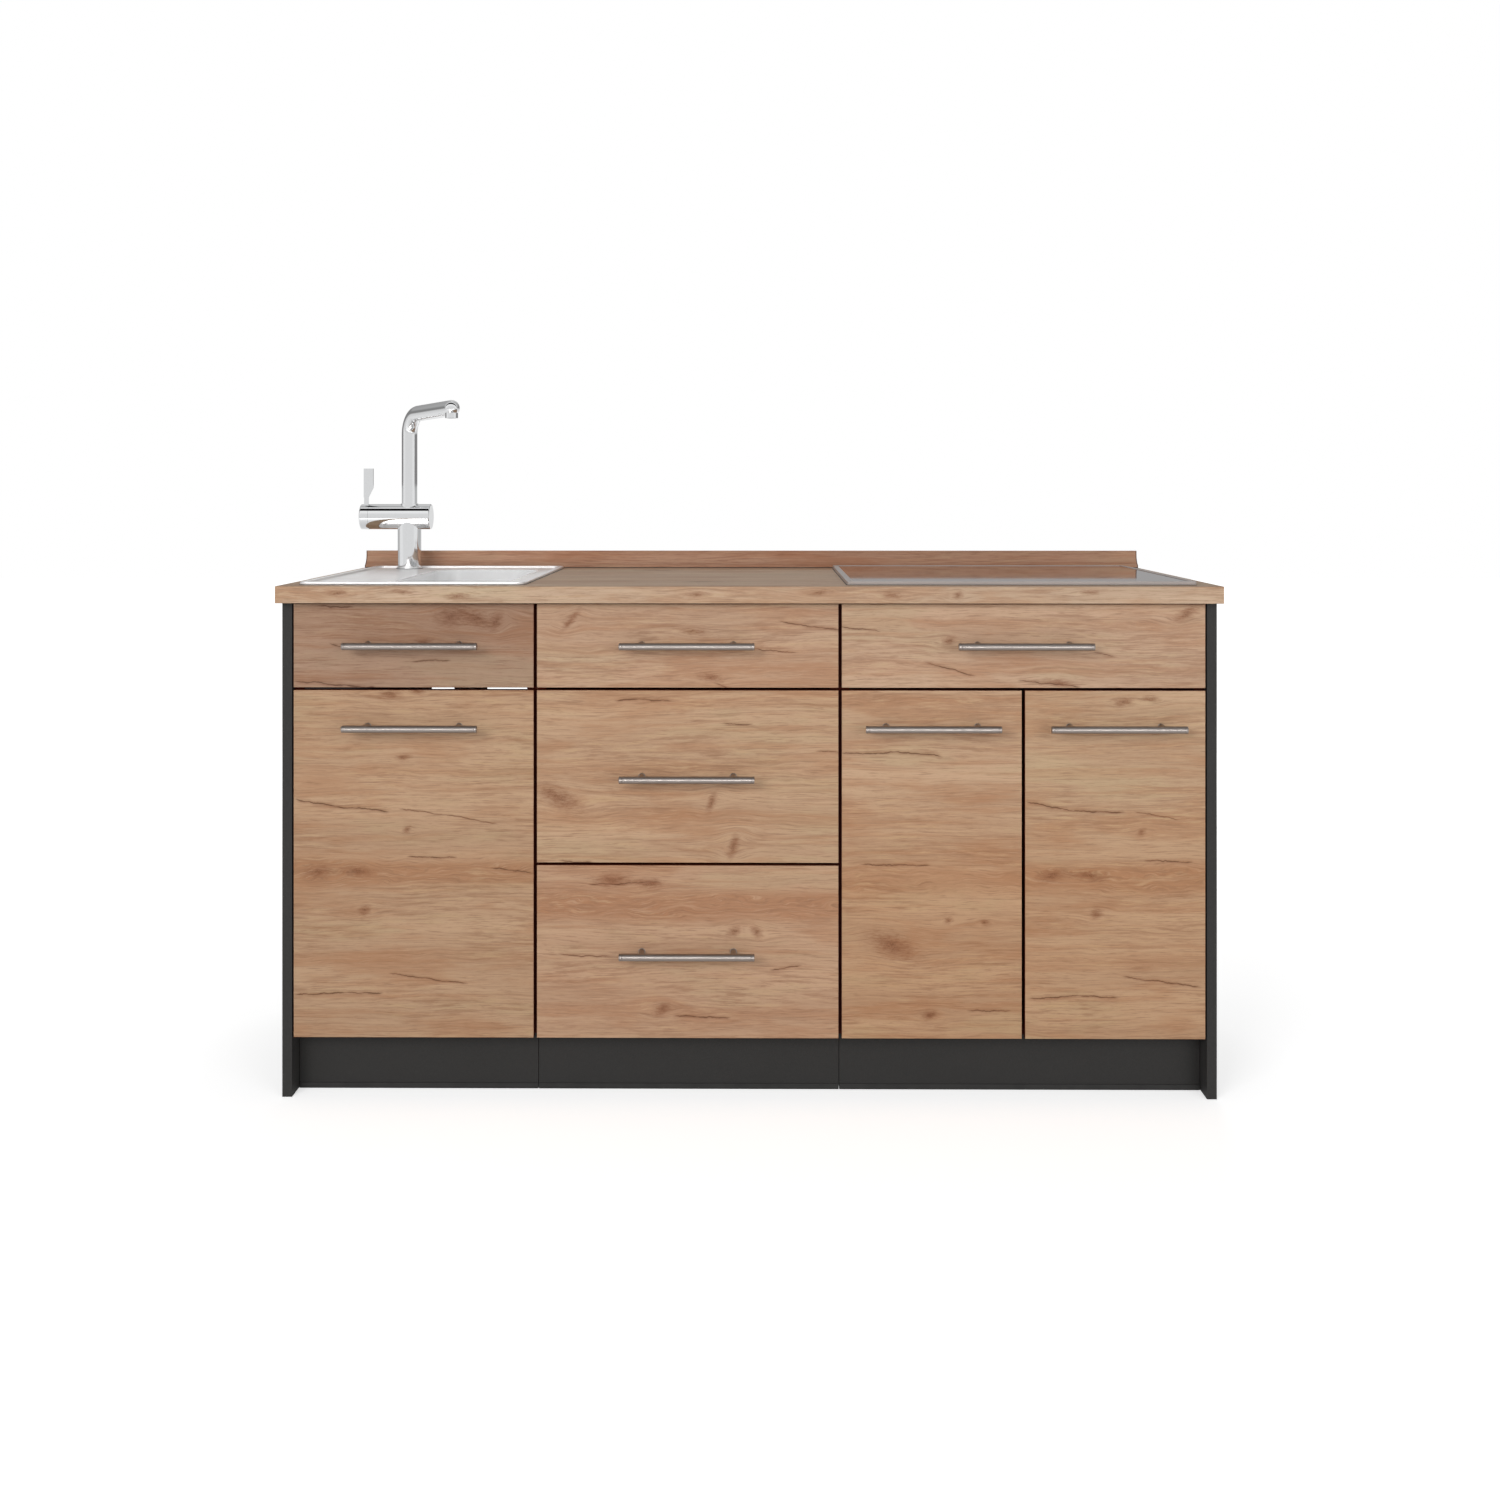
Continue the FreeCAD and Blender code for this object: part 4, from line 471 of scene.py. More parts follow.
dress(board("anthracite_board", (57, 56, 55)), "end_panel_left", "end_panel_right")
dress(board("carcass_board", (38, 35, 33), gap_shade_edging=CARCASS_GAP_SHADE_EDGING), "unit_floors", "top_rails",
      "hob_unit_shelf")
dress(board("bored_board", (38, 35, 33), holes=True, gap_shade_edging=CARCASS_GAP_SHADE_EDGING), "unit_sides")
dress(board("plinth_board", (55, 54, 53), 0.10), "plinth_left", "plinth_middle", "plinth_right")
dress(board("drawer_board", (205, 204, 200), 0.04, 0.5), "top_drawer_boards",
      "middle_drawer_boards", "bottom_drawer_boards", "hob_drawer_boards")


def hardboard():
    """Thin back panel: a smooth dark film inside, raw brown fibre towards the wall."""
    t = material("back_board")
    obj, (x, y, z) = t.place()
    ny = t.facing()[1]
    fibre = t.noise(t.stretched((x, 240.0), (z, 240.0), (y, 240.0)), 1.0, 5.0, 0.75, 0.6)
    blot = t.noise(obj, 14.0, 3.0, 0.55)
    raw = t.mix(t.span(fibre, 0.32, 0.68), srgb(150, 118, 84), srgb(118, 88, 60))
    raw = t.mix(t.times(t.span(blot, 0.4, 0.7), 0.35), raw, srgb(104, 76, 52))
    film = t.mix(t.span(blot, 0.3, 0.7), srgb(72, 71, 69), srgb(64, 63, 61))
    tone = t.mix(t.span(ny, -0.2, 0.2), film, raw)
    return t.surface(Base_Color=tone, Roughness=0.72, Normal=t.bump(fibre, 0.0002, 0.6))


dress(hardboard(), "back_panels")


# ---- metals and plastics ----------------------------------------------------
def steel(name, colour, rough, brush=None, streak=0.10, smudge=0.06, depth=0.00004, metal=1.0,
          vary=0.15):
    """Metal with brush marks along one axis, or with an even satin grain."""
    t = material(name)
    obj, axes = t.place()
    if brush is None:
        fine = t.noise(obj, 700.0, 3.0, 0.6)
    else:
        scales = [1400.0 if axis != brush else 5.0 for axis in "xyz"]
        fine = t.noise(t.stretched(*zip(axes, scales)), 1.0, 3.0, 0.65)
    cloud = t.noise(obj, 24.0, 3.0, 0.55)
    low = srgb(*(c * (1 - streak) for c in colour))
    high = srgb(*(min(255, c * (1 + streak)) for c in colour))
    tone = t.mix(t.span(fine, 0.3, 0.7), low, high)
    roughness = t.total(t.span(fine, 0.3, 0.7, rough * (1 - vary), rough * (1 + vary)),
                        t.span(cloud, 0.4, 0.75, 0.0, smudge))
    return t.surface(Base_Color=tone, Metallic=metal, Roughness=roughness,
                     Normal=t.bump(fine, depth, 0.6))


handle_steel = steel("handle_steel", (154, 146, 141), 0.34, "x", 0.02, 0.0, 0.000001,
                     vary=0.02)
sink_polish = steel("sink_polish", (225, 223, 222), 0.34, None, 0.03, 0.05, 0.00001, 0.72)
sink_satin = steel("sink_satin", (236, 236, 236), 0.22, "y", 0.02, 0.03, 0.000002, 0.62, 0.05)
chrome = steel("tap_chrome", (233, 234, 235), 0.035, None, 0.01, 0.015, 0.000004)
galvanised = steel("drawer_steel", (178, 179, 180), 0.42, None, 0.09, 0.10, 0.00005)
zinc = steel("hinge_steel", (190, 190, 188), 0.24, None, 0.05, 0.08)
waste_steel = steel("waste_steel", (200, 200, 199), 0.20, None, 0.04)
brass = steel("tap_brass", (196, 160, 92), 0.32, None, 0.10)
hob_trim = steel("hob_frame_metal", (204, 196, 192), 0.40, "x", 0.05, metal=0.85)
hob_case = steel("hob_case_metal", (168, 169, 170), 0.46, None, 0.10, 0.12, 0.00006)


def plastic(name, colour, rough=0.42, grit=900.0, depth=0.00006):
    """Moulded plastic with a fine skin."""
    t = material(name)
    obj = t.place()[0]
    skin = t.noise(obj, grit, 2.0, 0.55)
    cloud = t.noise(obj, 30.0, 2.0, 0.5)
    tone = t.mix(t.span(cloud, 0.3, 0.7), srgb(*colour), srgb(*(c * 0.88 for c in colour)))
    return t.surface(Base_Color=tone, Normal=t.bump(skin, depth, 0.5),
                     Roughness=t.span(cloud, 0.3, 0.7, rough - 0.05, rough + 0.07))


black_plastic = plastic("black_plastic", (34, 34, 35))
white_plastic = plastic("trap_plastic", (222, 222, 218), 0.32, 500.0)
lip_plastic = plastic("plinth_lip", (44, 43, 42), 0.5)

dress(sink_polish, "sink_deck")
dress(sink_satin, "sink_bowl")
dress(waste_steel, "sink_basket", "sink_waste")
dress(white_plastic, "sink_trap")
dress(chrome, "tap_body", "tap_cap", "tap_lever", "tap_spout", "tap_aerator")
dress(brass, "tap_fixing")
dress(galvanised, "top_drawer_sides", "middle_drawer_sides", "bottom_drawer_sides",
      "hob_drawer_sides", "cabinet_runners")
dress(zinc, "sink_door_hinge_cups", "hob_door_left_hinge_cups", "hob_door_right_hinge_cups",
      "hinge_arms", "small_fixings")
dress(hob_trim, "hob_frame")
dress(hob_case, "hob_case")
dress(black_plastic, "levelling_feet", "hob_heating_zones")
dress(lip_plastic, "plinth_seal")
dress(handle_steel, *("handle_" + name for name in HANDLES))


# ---- hob glass --------------------------------------------------------------
ZONES = ((-0.130, -0.112, 0.105), (-0.130, 0.112, 0.0725),      # from the hob's middle, radius
         (0.130, 0.112, 0.090), (0.130, -0.112, 0.0725))
ZONE_RING = 0.004                       # between a zone's two printed lines
MARK_R, MIDDLE_MARK_R, MARK_PITCH, MARKS_FROM_FRONT = 0.0050, 0.0068, 0.022, 0.022


def glass():
    """Black glass with the zones' printed rings and a plain row of touch marks."""
    t = material("hob_glass")
    obj, (x, y, _) = t.place()
    low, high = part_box("hob_glass")
    xc, yc = (low.x + high.x) / 2, (low.y + high.y) / 2
    marks = []
    for dx, dy, r in ZONES:
        a = t.math("SUBTRACT", x, xc + dx)
        b = t.math("SUBTRACT", y, yc + dy)
        far = t.length(a, b)
        for radius in (r, r - ZONE_RING):
            marks.append(t.span(t.apart(far, radius), 0.0009, 0.0005))
    for k in range(-4, 5):
        a = t.math("SUBTRACT", x, xc + MARK_PITCH * k)
        b = t.math("SUBTRACT", y, low.y + MARKS_FROM_FRONT)
        off = t.apart(t.length(a, b), MARK_R if k else MIDDLE_MARK_R)
        marks.append(t.span(off, 0.0007, 0.0003))
    ink = marks[0]
    for mark in marks[1:]:
        ink = t.math("MAXIMUM", ink, mark)
    dust = t.noise(obj, 60.0, 4.0, 0.6)
    tone = t.mix(t.times(ink, 0.8), srgb(14, 14, 15), srgb(150, 150, 152))
    return t.surface(Base_Color=tone, Roughness=t.span(dust, 0.4, 0.75, 0.05, 0.11),
                     Specular_IOR_Level=0.5, Coat_Weight=0.7, Coat_Roughness=0.04)


dress(glass(), "hob_glass")

# ---- mesh pieces ------------------------------------------------------------
UP, ALONG_X, ALONG_Y = Vector((0, 0, 1)), Vector((1, 0, 0)), Vector((0, 1, 0))


def turned(axis, origin):
    """From a lathe's own Z to an axis and a point of the part."""
    return Matrix.Translation(origin) @ Vector(axis).to_track_quat("Z", "Y").to_matrix().to_4x4()


def lathe(bm, outline, where, steps=32):
    """Turns (radius, height) points round Z and sets the form at a place."""
    rings = []
    for r, h in outline:
        if r < 1e-7:
            rings.append([bm.verts.new(where @ Vector((0, 0, h)))])
            continue
        turn = [2 * math.pi * k / steps for k in range(steps)]
        rings.append([bm.verts.new(where @ Vector((r * math.cos(a), r * math.sin(a), h)))
                      for a in turn])
    for low, high in zip(rings, rings[1:]):
        for k in range(steps):
            n = (k + 1) % steps
            if len(low) == 1:
                bm.faces.new((low[0], high[n], high[k]))
            elif len(high) == 1:
                bm.faces.new((low[k], low[n], high[0]))
            else:
                bm.faces.new((low[k], low[n], high[n], high[k]))
    return rings[-1]


def slab(bm, low, high, soft=0.0, where=None):
    """A block with softened edges."""
    size = Vector(high) - Vector(low)
    middle = (Vector(high) + Vector(low)) / 2
    place = Matrix.Translation(middle) @ Matrix.Diagonal((*size, 1))
    made = bmesh.ops.create_cube(bm, size=1.0, matrix=(where or Matrix()) @ place)
    if soft:
        edges = {e for v in made["verts"] for e in v.link_edges}
        bmesh.ops.bevel(bm, geom=list(edges), offset=soft, segments=3, profile=0.6,
                        affect="EDGES", clamp_overlap=True)


def plate(bm, points, thick, where, soft=0.0):
    """A flat outline in its own XY, thick along Z, set at a place."""
    low = [bm.verts.new(where @ Vector((x, y, 0))) for x, y in points]
    high = [bm.verts.new(where @ Vector((x, y, thick))) for x, y in points]
    faces = [bm.faces.new(low[::-1]), bm.faces.new(high)]
    for k in range(len(points)):
        n = (k + 1) % len(points)
        faces.append(bm.faces.new((low[k], low[n], high[n], high[k])))
    if soft:
        rims = list({e for f in faces[:2] for e in f.edges})
        bmesh.ops.bevel(bm, geom=rims, offset=soft, segments=2, profile=0.6, affect="EDGES",
                        clamp_overlap=True)


def piece(name, bm, body, mat, stands_for=None, crease=35):
    """Ends a mesh as a piece of the scene that rides a body."""
    bmesh.ops.recalc_face_normals(bm, faces=bm.faces)
    for edge in bm.edges:
        edge.smooth = len(edge.link_faces) == 2 and edge.calc_face_angle(4) < math.radians(crease)
    for face in bm.faces:
        face.smooth = True
    mesh = bpy.data.meshes.new(name)
    bm.to_mesh(mesh)
    bm.free()
    mesh.materials.append(mat)
    obj = bpy.data.objects.new(name, mesh)
    bpy.context.scene.collection.objects.link(obj)
    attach(obj, body)
    if stands_for:
        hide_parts(stands_for)
    return obj


def screw(bm, point, out, r=0.004, h=0.0022):
    """Pan head with a cross recess, its seat at the point, facing out."""
    where = turned(out, point)
    steps = 24
    lip = [(r, 0), (r, h * 0.35), (r * 0.93, h * 0.62), (r * 0.75, h * 0.88), (r * 0.56, h)]
    rim = lathe(bm, [(0, 0)] + lip, where, steps)
    # The recess: a star of four arms between the rim and a floor below it.
    star, floor = [], []
    for k in range(steps):
        a = 2 * math.pi * k / steps
        reach = r * (0.50 if k % 6 in (0, 1, 5) else 0.17)
        star.append(bm.verts.new(where @ Vector((reach * math.cos(a), reach * math.sin(a), h))))
        floor.append(bm.verts.new(where @ Vector((reach * 0.8 * math.cos(a),
                                                  reach * 0.8 * math.sin(a), h * 0.35))))
    for k in range(steps):
        n = (k + 1) % steps
        bm.faces.new((rim[k], rim[n], star[n], star[k]))
        bm.faces.new((star[k], star[n], floor[n], floor[k]))
    bm.faces.new(floor)


# ---- handles ----------------------------------------------------------------
BAR_R, POST_R, POST_PITCH, POST_LENGTH = 0.006, 0.005, 0.150, 0.0275
BODY_OF = {name: "root" if name == "sink_front" else name for name in HANDLES}
BAR_END = [(0, 0), (BAR_R - 0.0010, 0), (BAR_R - 0.0003, 0.0003), (BAR_R, 0.0010),
           (BAR_R, 0.0045), (BAR_R - 0.00035, 0.0048), (BAR_R - 0.00035, 0.0053),
           (BAR_R, 0.0056)]              # rounded rim and the cap's fine groove
POST = [(0, 0), (POST_R + 0.0008, 0), (POST_R + 0.0008, 0.0006), (POST_R, 0.0012),
        (POST_R, 0.0235), (POST_R - 0.0004, POST_LENGTH), (0, POST_LENGTH)]
for name in HANDLES:
    low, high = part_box("handle_" + name)
    z = (low.z + high.z) / 2
    x_mid, length = (low.x + high.x) / 2, high.x - low.x
    bm = bmesh.new()
    bar = BAR_END + [(r, length - h) for r, h in reversed(BAR_END)]
    lathe(bm, bar, turned(ALONG_X, (low.x, low.y + BAR_R, z)), 48)
    for side in (-1, 1):
        x = x_mid + side * POST_PITCH / 2
        lathe(bm, POST, turned((0, -1, 0), (x, Y_FRONT, z)), 32)
        screw(bm, (x, Y_FRONT_REAR, z), ALONG_Y, 0.0045, 0.0016)
    piece("bar_handle_" + name, bm, BODY_OF[name], handle_steel,
          "handle_" + name)

# ---- hinges -----------------------------------------------------------------
HINGE_SIDES = {"sink_door": (LEFT, 1), "hob_door_left": (HOB_START, 1),
               "hob_door_right": (RIGHT, -1)}       # the side it hangs on, the way inwards
PLATE_Y, PLATE_T, PLATE_SCREWS_Z = -0.210, 0.0025, (-0.020, 0.020)
WINGS = [(-0.026, -0.012), (-0.026, 0.012), (-0.016, 0.016), (-0.009, 0.025),
         (0.009, 0.025), (0.016, 0.016), (0.026, 0.012), (0.026, -0.012),
         (0.016, -0.016), (0.009, -0.025), (-0.009, -0.025), (-0.016, -0.016)]
ARM_LENGTH, ARM_HALF_H, ARM_DEPTH, ARM_SCREWS_Y = 0.066, 0.0075, 0.012, (-0.226, -0.206)
CUP_IN, CUP_RIM_Y, CUP_SCREWS_Z = 0.025, -0.2538, (-0.0235, 0.0235)
low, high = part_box("hinge_arms")
HINGE_Z = (low.z + 0.026, high.z - 0.026)
bm = bmesh.new()
for door, (edge, inward) in HINGE_SIDES.items():
    cups = bmesh.new()
    wall = edge + inward * BOARD_T
    face = wall + inward * PLATE_T
    x_cup = edge + inward * CUP_IN
    into = Vector((inward, 0, 0))
    for z in HINGE_Z:
        # Mounting plate with wings, and the arm as a softened channel over it.
        upright = turned(into, (wall, PLATE_Y, z)) @ Matrix.Rotation(math.radians(90), 4, "Z")
        plate(bm, WINGS, PLATE_T, upright, 0.0005)
        reach = (face, face + inward * ARM_DEPTH)
        slab(bm, (min(reach), low.y, z - ARM_HALF_H),
             (max(reach), low.y + ARM_LENGTH, z + ARM_HALF_H), 0.0018)
        for dz in PLATE_SCREWS_Z:
            screw(bm, (face, PLATE_Y, z + dz), into, 0.0036, 0.0018)
        for y in ARM_SCREWS_Y:
            screw(bm, (face + inward * ARM_DEPTH, y, z), into, 0.0034, 0.0010)
        # On the door: the cup's screws, and the link's pin and bracket in the cup.
        for dz in CUP_SCREWS_Z:
            screw(cups, (x_cup, CUP_RIM_Y, z + dz), ALONG_Y, 0.0036, 0.0016)
        lathe(cups, [(0, -0.008), (0.0022, -0.008), (0.0022, 0.008), (0, 0.008)],
              turned(UP, (x_cup - inward * 0.008, -0.2595, z)), 16)
        slab(cups, (x_cup - 0.010, -0.2605, z - 0.006), (x_cup + 0.010, -0.2590, z + 0.006),
             0.0005)
    piece("hinge_screws_" + door, cups, door, zinc)
piece("hinge_arms_and_plates", bm, "root", zinc, "hinge_arms")

# ---- runners and drawers ----------------------------------------------------
DRAWERS = {"top_drawer": (SINK_END, HOB_START), "middle_drawer": (SINK_END, HOB_START),
           "bottom_drawer": (SINK_END, HOB_START), "hob_drawer": (HOB_START, RIGHT)}
ROLLER = [(0, -0.0001), (0.0088, -0.0001), (0.0096, 0.0007), (0.0096, 0.0068),
          (0.0088, 0.0076), (0, 0.0076)]
ROLLER_IN, ROLLER_UP, FRONT_ROLLER_Y, REAR_ROLLER_BACK = 0.0035, 0.011, -0.236, 0.015
SHEET, RAIL_SCREWS_Y, RAIL_SCREWS_UP = 0.0012, (-0.165, 0.010, 0.172), 0.0085
# The bracket that holds a front to the drawer's side: one leg on each.
BRACKET_IN, BRACKET_LOW, BRACKET_HIGH, BRACKET_SCREWS = 0.0140, 0.022, 0.058, (0.031, 0.049)
FRONT_LEG, SIDE_LEG_END = 0.016, -0.223
rail_screws, rail_rollers = bmesh.new(), bmesh.new()
for drawer, (left, right) in DRAWERS.items():
    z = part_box(drawer + "_boards")[0].z
    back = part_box(drawer + "_sides")[1].y
    brackets, rollers = bmesh.new(), bmesh.new()
    for wall, inward in ((left + BOARD_T, 1), (right - BOARD_T, -1)):
        into = Vector((inward, 0, 0))
        for y in RAIL_SCREWS_Y:
            screw(rail_screws, (wall + inward * SHEET, y, z + RAIL_SCREWS_UP), into,
                  0.0034, 0.0012)
        x = wall + inward * ROLLER_IN
        for target, y in ((rail_rollers, FRONT_ROLLER_Y), (rollers, back - REAR_ROLLER_BACK)):
            lathe(target, ROLLER, turned(into, (x, y, z + ROLLER_UP)), 40)
        inner = wall + inward * BRACKET_IN
        for wide, y_end, soft in ((FRONT_LEG, Y_FRONT_REAR + 0.0015, 0.0005),
                                  (SHEET, SIDE_LEG_END, 0.0004)):
            x_low, x_high = sorted((inner, inner + inward * wide))
            slab(brackets, (x_low, Y_FRONT_REAR, z + BRACKET_LOW),
                 (x_high, y_end, z + BRACKET_HIGH), soft)
        for dz in BRACKET_SCREWS:
            screw(brackets, (inner + inward * 0.009, Y_FRONT_REAR + 0.0015, z + dz), ALONG_Y,
                  0.0032, 0.0014)
            screw(brackets, (inner + inward * SHEET, -0.232, z + dz), into, 0.0030, 0.0013)
    piece("front_brackets_" + drawer, brackets, drawer, zinc)
    piece("rear_rollers_" + drawer, rollers, drawer, white_plastic)
piece("runner_screws", rail_screws, "root", zinc)
piece("front_rollers", rail_rollers, "root", white_plastic)

# ---- backs ------------------------------------------------------------------
BACK_SCREW_PITCH, FROM_SIDE, FROM_EDGE = 0.12, 0.030, 0.008
low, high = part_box("back_panels")
bm = bmesh.new()
for left, right in CABINETS:
    count = round((right - left) / BACK_SCREW_PITCH)
    for k in range(count + 1):
        x = left + FROM_SIDE + (right - left - 2 * FROM_SIDE) * k / count
        for z in (low.z + FROM_EDGE, high.z - FROM_EDGE):
            screw(bm, (x, high.y, z), ALONG_Y, 0.0035, 0.0014)
piece("back_panel_screws", bm, "root", zinc)

# ---- feet and plinth joiners ------------------------------------------------
FOOT_R, FOOT_H, STEM_R, HEAD_R = 0.030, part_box("levelling_feet")[1].z, 0.014, 0.0260
FOOT_IN, THREADS, THREAD_LOW, THREAD_PITCH, FINS = 0.050, 9, 0.0125, 0.0032, 12
Y_FEET = (-0.1828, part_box("levelling_feet")[1].y - FOOT_R)
CLIP_LOW, CLIP_HIGH, CLIP_Y = 0.047, 0.065, (-0.215, -0.2115)
outline = [(0, 0), (0.0280, 0), (FOOT_R, 0.0016), (FOOT_R, 0.0042), (0.0288, 0.0058),
           (0.0215, 0.0072), (0.0162, 0.0080), (STEM_R, 0.0100)]
for k in range(THREADS):
    h = THREAD_LOW + THREAD_PITCH * k
    outline += [(STEM_R - 0.0012, h), (STEM_R - 0.0012, h + 0.0008), (STEM_R, h + 0.0016),
                (STEM_R, h + 0.0022)]
outline += [(STEM_R, 0.0820), (0.0190, 0.0838), (0.0240, 0.0840), (HEAD_R, 0.0858),
            (HEAD_R, FOOT_H - 0.0012), (0.0250, FOOT_H), (0, FOOT_H)]
places = [x for left, right in CABINETS for x in (left + FOOT_IN, right - FOOT_IN)]
for n, x in enumerate(places):
    bm = bmesh.new()
    for y in Y_FEET:
        upright = turned(UP, (x, y, 0))
        lathe(bm, outline, upright, 48)
        for k in range(FINS):
            fin = upright @ Matrix.Rotation(math.radians(360 / FINS * k), 4, "Z")
            slab(bm, (0.0245, -0.0010, 0.0845), (0.0268, 0.0010, FOOT_H - 0.0015), 0.0003, fin)
            if k % 2:
                web = fin @ Matrix.Rotation(math.radians(90), 4, "X")
                plate(bm, [(0.013, 0.0070), (0.0265, 0.0052), (0.013, 0.0200)], 0.0016, web)
    # The clip that holds the plinth board, on the front foot.
    y = Y_FEET[0]
    slab(bm, (x - 0.012, CLIP_Y[0], CLIP_LOW - 0.001), (x + 0.012, CLIP_Y[1], CLIP_HIGH + 0.001),
         0.0010)
    slab(bm, (x - 0.0055, CLIP_Y[1], CLIP_LOW + 0.001),
         (x + 0.0055, y - STEM_R + 0.001, CLIP_HIGH - 0.001), 0.0008)
    lathe(bm, [(STEM_R, CLIP_LOW), (STEM_R + 0.0026, CLIP_LOW), (STEM_R + 0.0026, CLIP_HIGH),
               (STEM_R, CLIP_HIGH)], turned(UP, (x, y, 0)), 40)
    piece("feet_%d" % (n + 1), bm, "root", black_plastic,
          "levelling_feet")

JOINER_HALF, JOINER_REAR = 0.014, -0.2128
bm = bmesh.new()
for x in (SINK_END, HOB_START):
    slab(bm, (x - JOINER_HALF, -0.2148, 0.012), (x + JOINER_HALF, JOINER_REAR, 0.094), 0.0005)
    slab(bm, (x - JOINER_HALF, -0.2136, 0.0005), (x + JOINER_HALF, -0.2118, 0.016), 0.0004)
    for dx in (-0.007, 0.007):
        for z in (0.030, 0.076):
            screw(bm, (x + dx, JOINER_REAR, z), ALONG_Y, 0.0030, 0.0014)
piece("plinth_joiners", bm, "root", black_plastic)


# ---- trap, tap and seals ----------------------------------------------------
def knurled(bm, r, depth, teeth, low, high, where):
    """A grip ring of upright ribs round a nut."""
    points = []
    for k in range(teeth * 4):
        a = 2 * math.pi * k / (teeth * 4)
        reach = r + (depth if k % 4 in (1, 2) else 0.0)
        points.append((reach * math.cos(a), reach * math.sin(a)))
    plate(bm, points, high - low, where @ Matrix.Translation((0, 0, low)), 0.0005)


low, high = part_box("sink_trap")
x_trap, y_trap, z_branch = (low.x + high.x) / 2, low.y + 0.036, 0.5126
bm = bmesh.new()
post = turned(UP, (x_trap, y_trap, 0))
branch = turned(ALONG_Y, (x_trap, y_trap, z_branch))
knurled(bm, 0.0282, 0.0012, 22, high.z - 0.0178, high.z - 0.0010, post)
knurled(bm, 0.0362, 0.0012, 28, low.z + 0.004, low.z + 0.026, post)
knurled(bm, 0.0362, 0.0014, 28, low.z + 0.098, low.z + 0.114, post)
knurled(bm, 0.0252, 0.0022, 20, 0.0420, 0.0590, branch)
lathe(bm, [(0.0202, 0.232), (0.0222, 0.233), (0.0222, 0.240), (0.0202, 0.241)], branch, 40)
piece("trap_nuts", bm, "root", white_plastic)

TAP_X, TAP_Y, GASKET_R = -0.669, 0.229, 0.0256
bm = bmesh.new()
lathe(bm, [(0.0246, 0), (GASKET_R, 0), (GASKET_R, 0.0005), (0.0250, 0.0009), (0.0246, 0.0009)],
      turned(UP, (TAP_X, TAP_Y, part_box("tap_fixing")[1].z + 0.0010)), 64)
piece("tap_gasket", bm, "root", black_plastic)

# The aerator's insert: a disc, and rings in a honeycomb under it.
INSERT_R, CELL_PITCH, CELL_IN, CELL_OUT, CELL_H = 0.0088, 0.0022, 0.00088, 0.00110, 0.0006
low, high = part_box("tap_aerator")
x_out, y_out = (low.x + high.x) / 2, (low.y + high.y) / 2
cell = [(CELL_IN, 0), (CELL_OUT, 0), (CELL_OUT, CELL_H), (CELL_IN, CELL_H), (CELL_IN, 0)]
bm = bmesh.new()
for i in range(-4, 5):
    for j in range(-4, 5):
        x, y = CELL_PITCH * (i + 0.5 * (j % 2)), CELL_PITCH * 0.866 * j
        if math.hypot(x, y) < INSERT_R - 0.0012:
            lathe(bm, cell, turned(UP, (x_out + x, y_out + y, low.z + 0.0004)), 6)
lathe(bm, [(0, 0), (INSERT_R, 0), (INSERT_R, 0.0004), (0, 0.0004)],
      turned(UP, (x_out, y_out, low.z + 0.0010)), 32)
piece("aerator_honeycomb", bm, "spout", black_plastic)


def rounded_loop(low, high, r, steps=8):
    """Points of a rectangle with round corners."""
    points = []
    for cx, cy, start in ((high.x - r, high.y - r, 0), (low.x + r, high.y - r, 90),
                          (low.x + r, low.y + r, 180), (high.x - r, low.y + r, 270)):
        for k in range(steps + 1):
            a = math.radians(start + 90 * k / steps)
            points.append((cx + r * math.cos(a), cy + r * math.sin(a)))
    return points


def seal(name, node, corner, out, height=0.0009):
    """A joint of sealant round an appliance let into the worktop."""
    low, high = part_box(node)
    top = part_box("worktop")[1].z
    bm = bmesh.new()
    rings = []
    for share, h in ((1.0, 0.0), (0.6, height * 0.7), (-0.2, height)):
        grow = Vector((out, out, 0)) * share
        loop = rounded_loop(low - grow, high + grow, corner + out * share)
        rings.append([bm.verts.new((x, y, top + h)) for x, y in loop])
    for inner, outer in zip(rings, rings[1:]):
        for k in range(len(inner)):
            n = (k + 1) % len(inner)
            bm.faces.new((inner[k], inner[n], outer[n], outer[k]))
    piece(name, bm, "root", lip_plastic)


seal("sink_seal", "sink_deck", 0.014, 0.0012)
seal("hob_seal", "hob_frame", 0.005, 0.0010)

# The bead where the upstand meets the worktop: one outline drawn along X.
low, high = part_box("upstand")
bm = bmesh.new()
bead = [(-0.0012, 0.0), (0.0004, 0.0), (0.0004, 0.0014), (0.0, 0.0013), (-0.0007, 0.0008)]
ends = [[bm.verts.new((x, low.y + dy, low.z + dz)) for dy, dz in bead] for x in (low.x, high.x)]
for k in range(len(bead)):
    n = (k + 1) % len(bead)
    bm.faces.new((ends[0][k], ends[0][n], ends[1][n], ends[1][k]))
bm.faces.new(ends[0])
bm.faces.new(ends[1][::-1])
piece("upstand_bead", bm, "root", lip_plastic)

# ---- camera, light, floor ---------------------------------------------------
scene = bpy.context.scene
camera = bpy.data.objects.new("camera", bpy.data.cameras.new("camera"))
scene.collection.objects.link(camera)
camera.location = (0.0205, -2.8361, 1.0036)
camera.rotation_euler = (math.radians(90), 0, math.radians(0.4054))
camera.data.sensor_width = 36.0
camera.data.lens = 37.56
camera.data.shift_y = -0.1761
scene.camera = camera



def grey(level):
    return (level, level, level, 1)


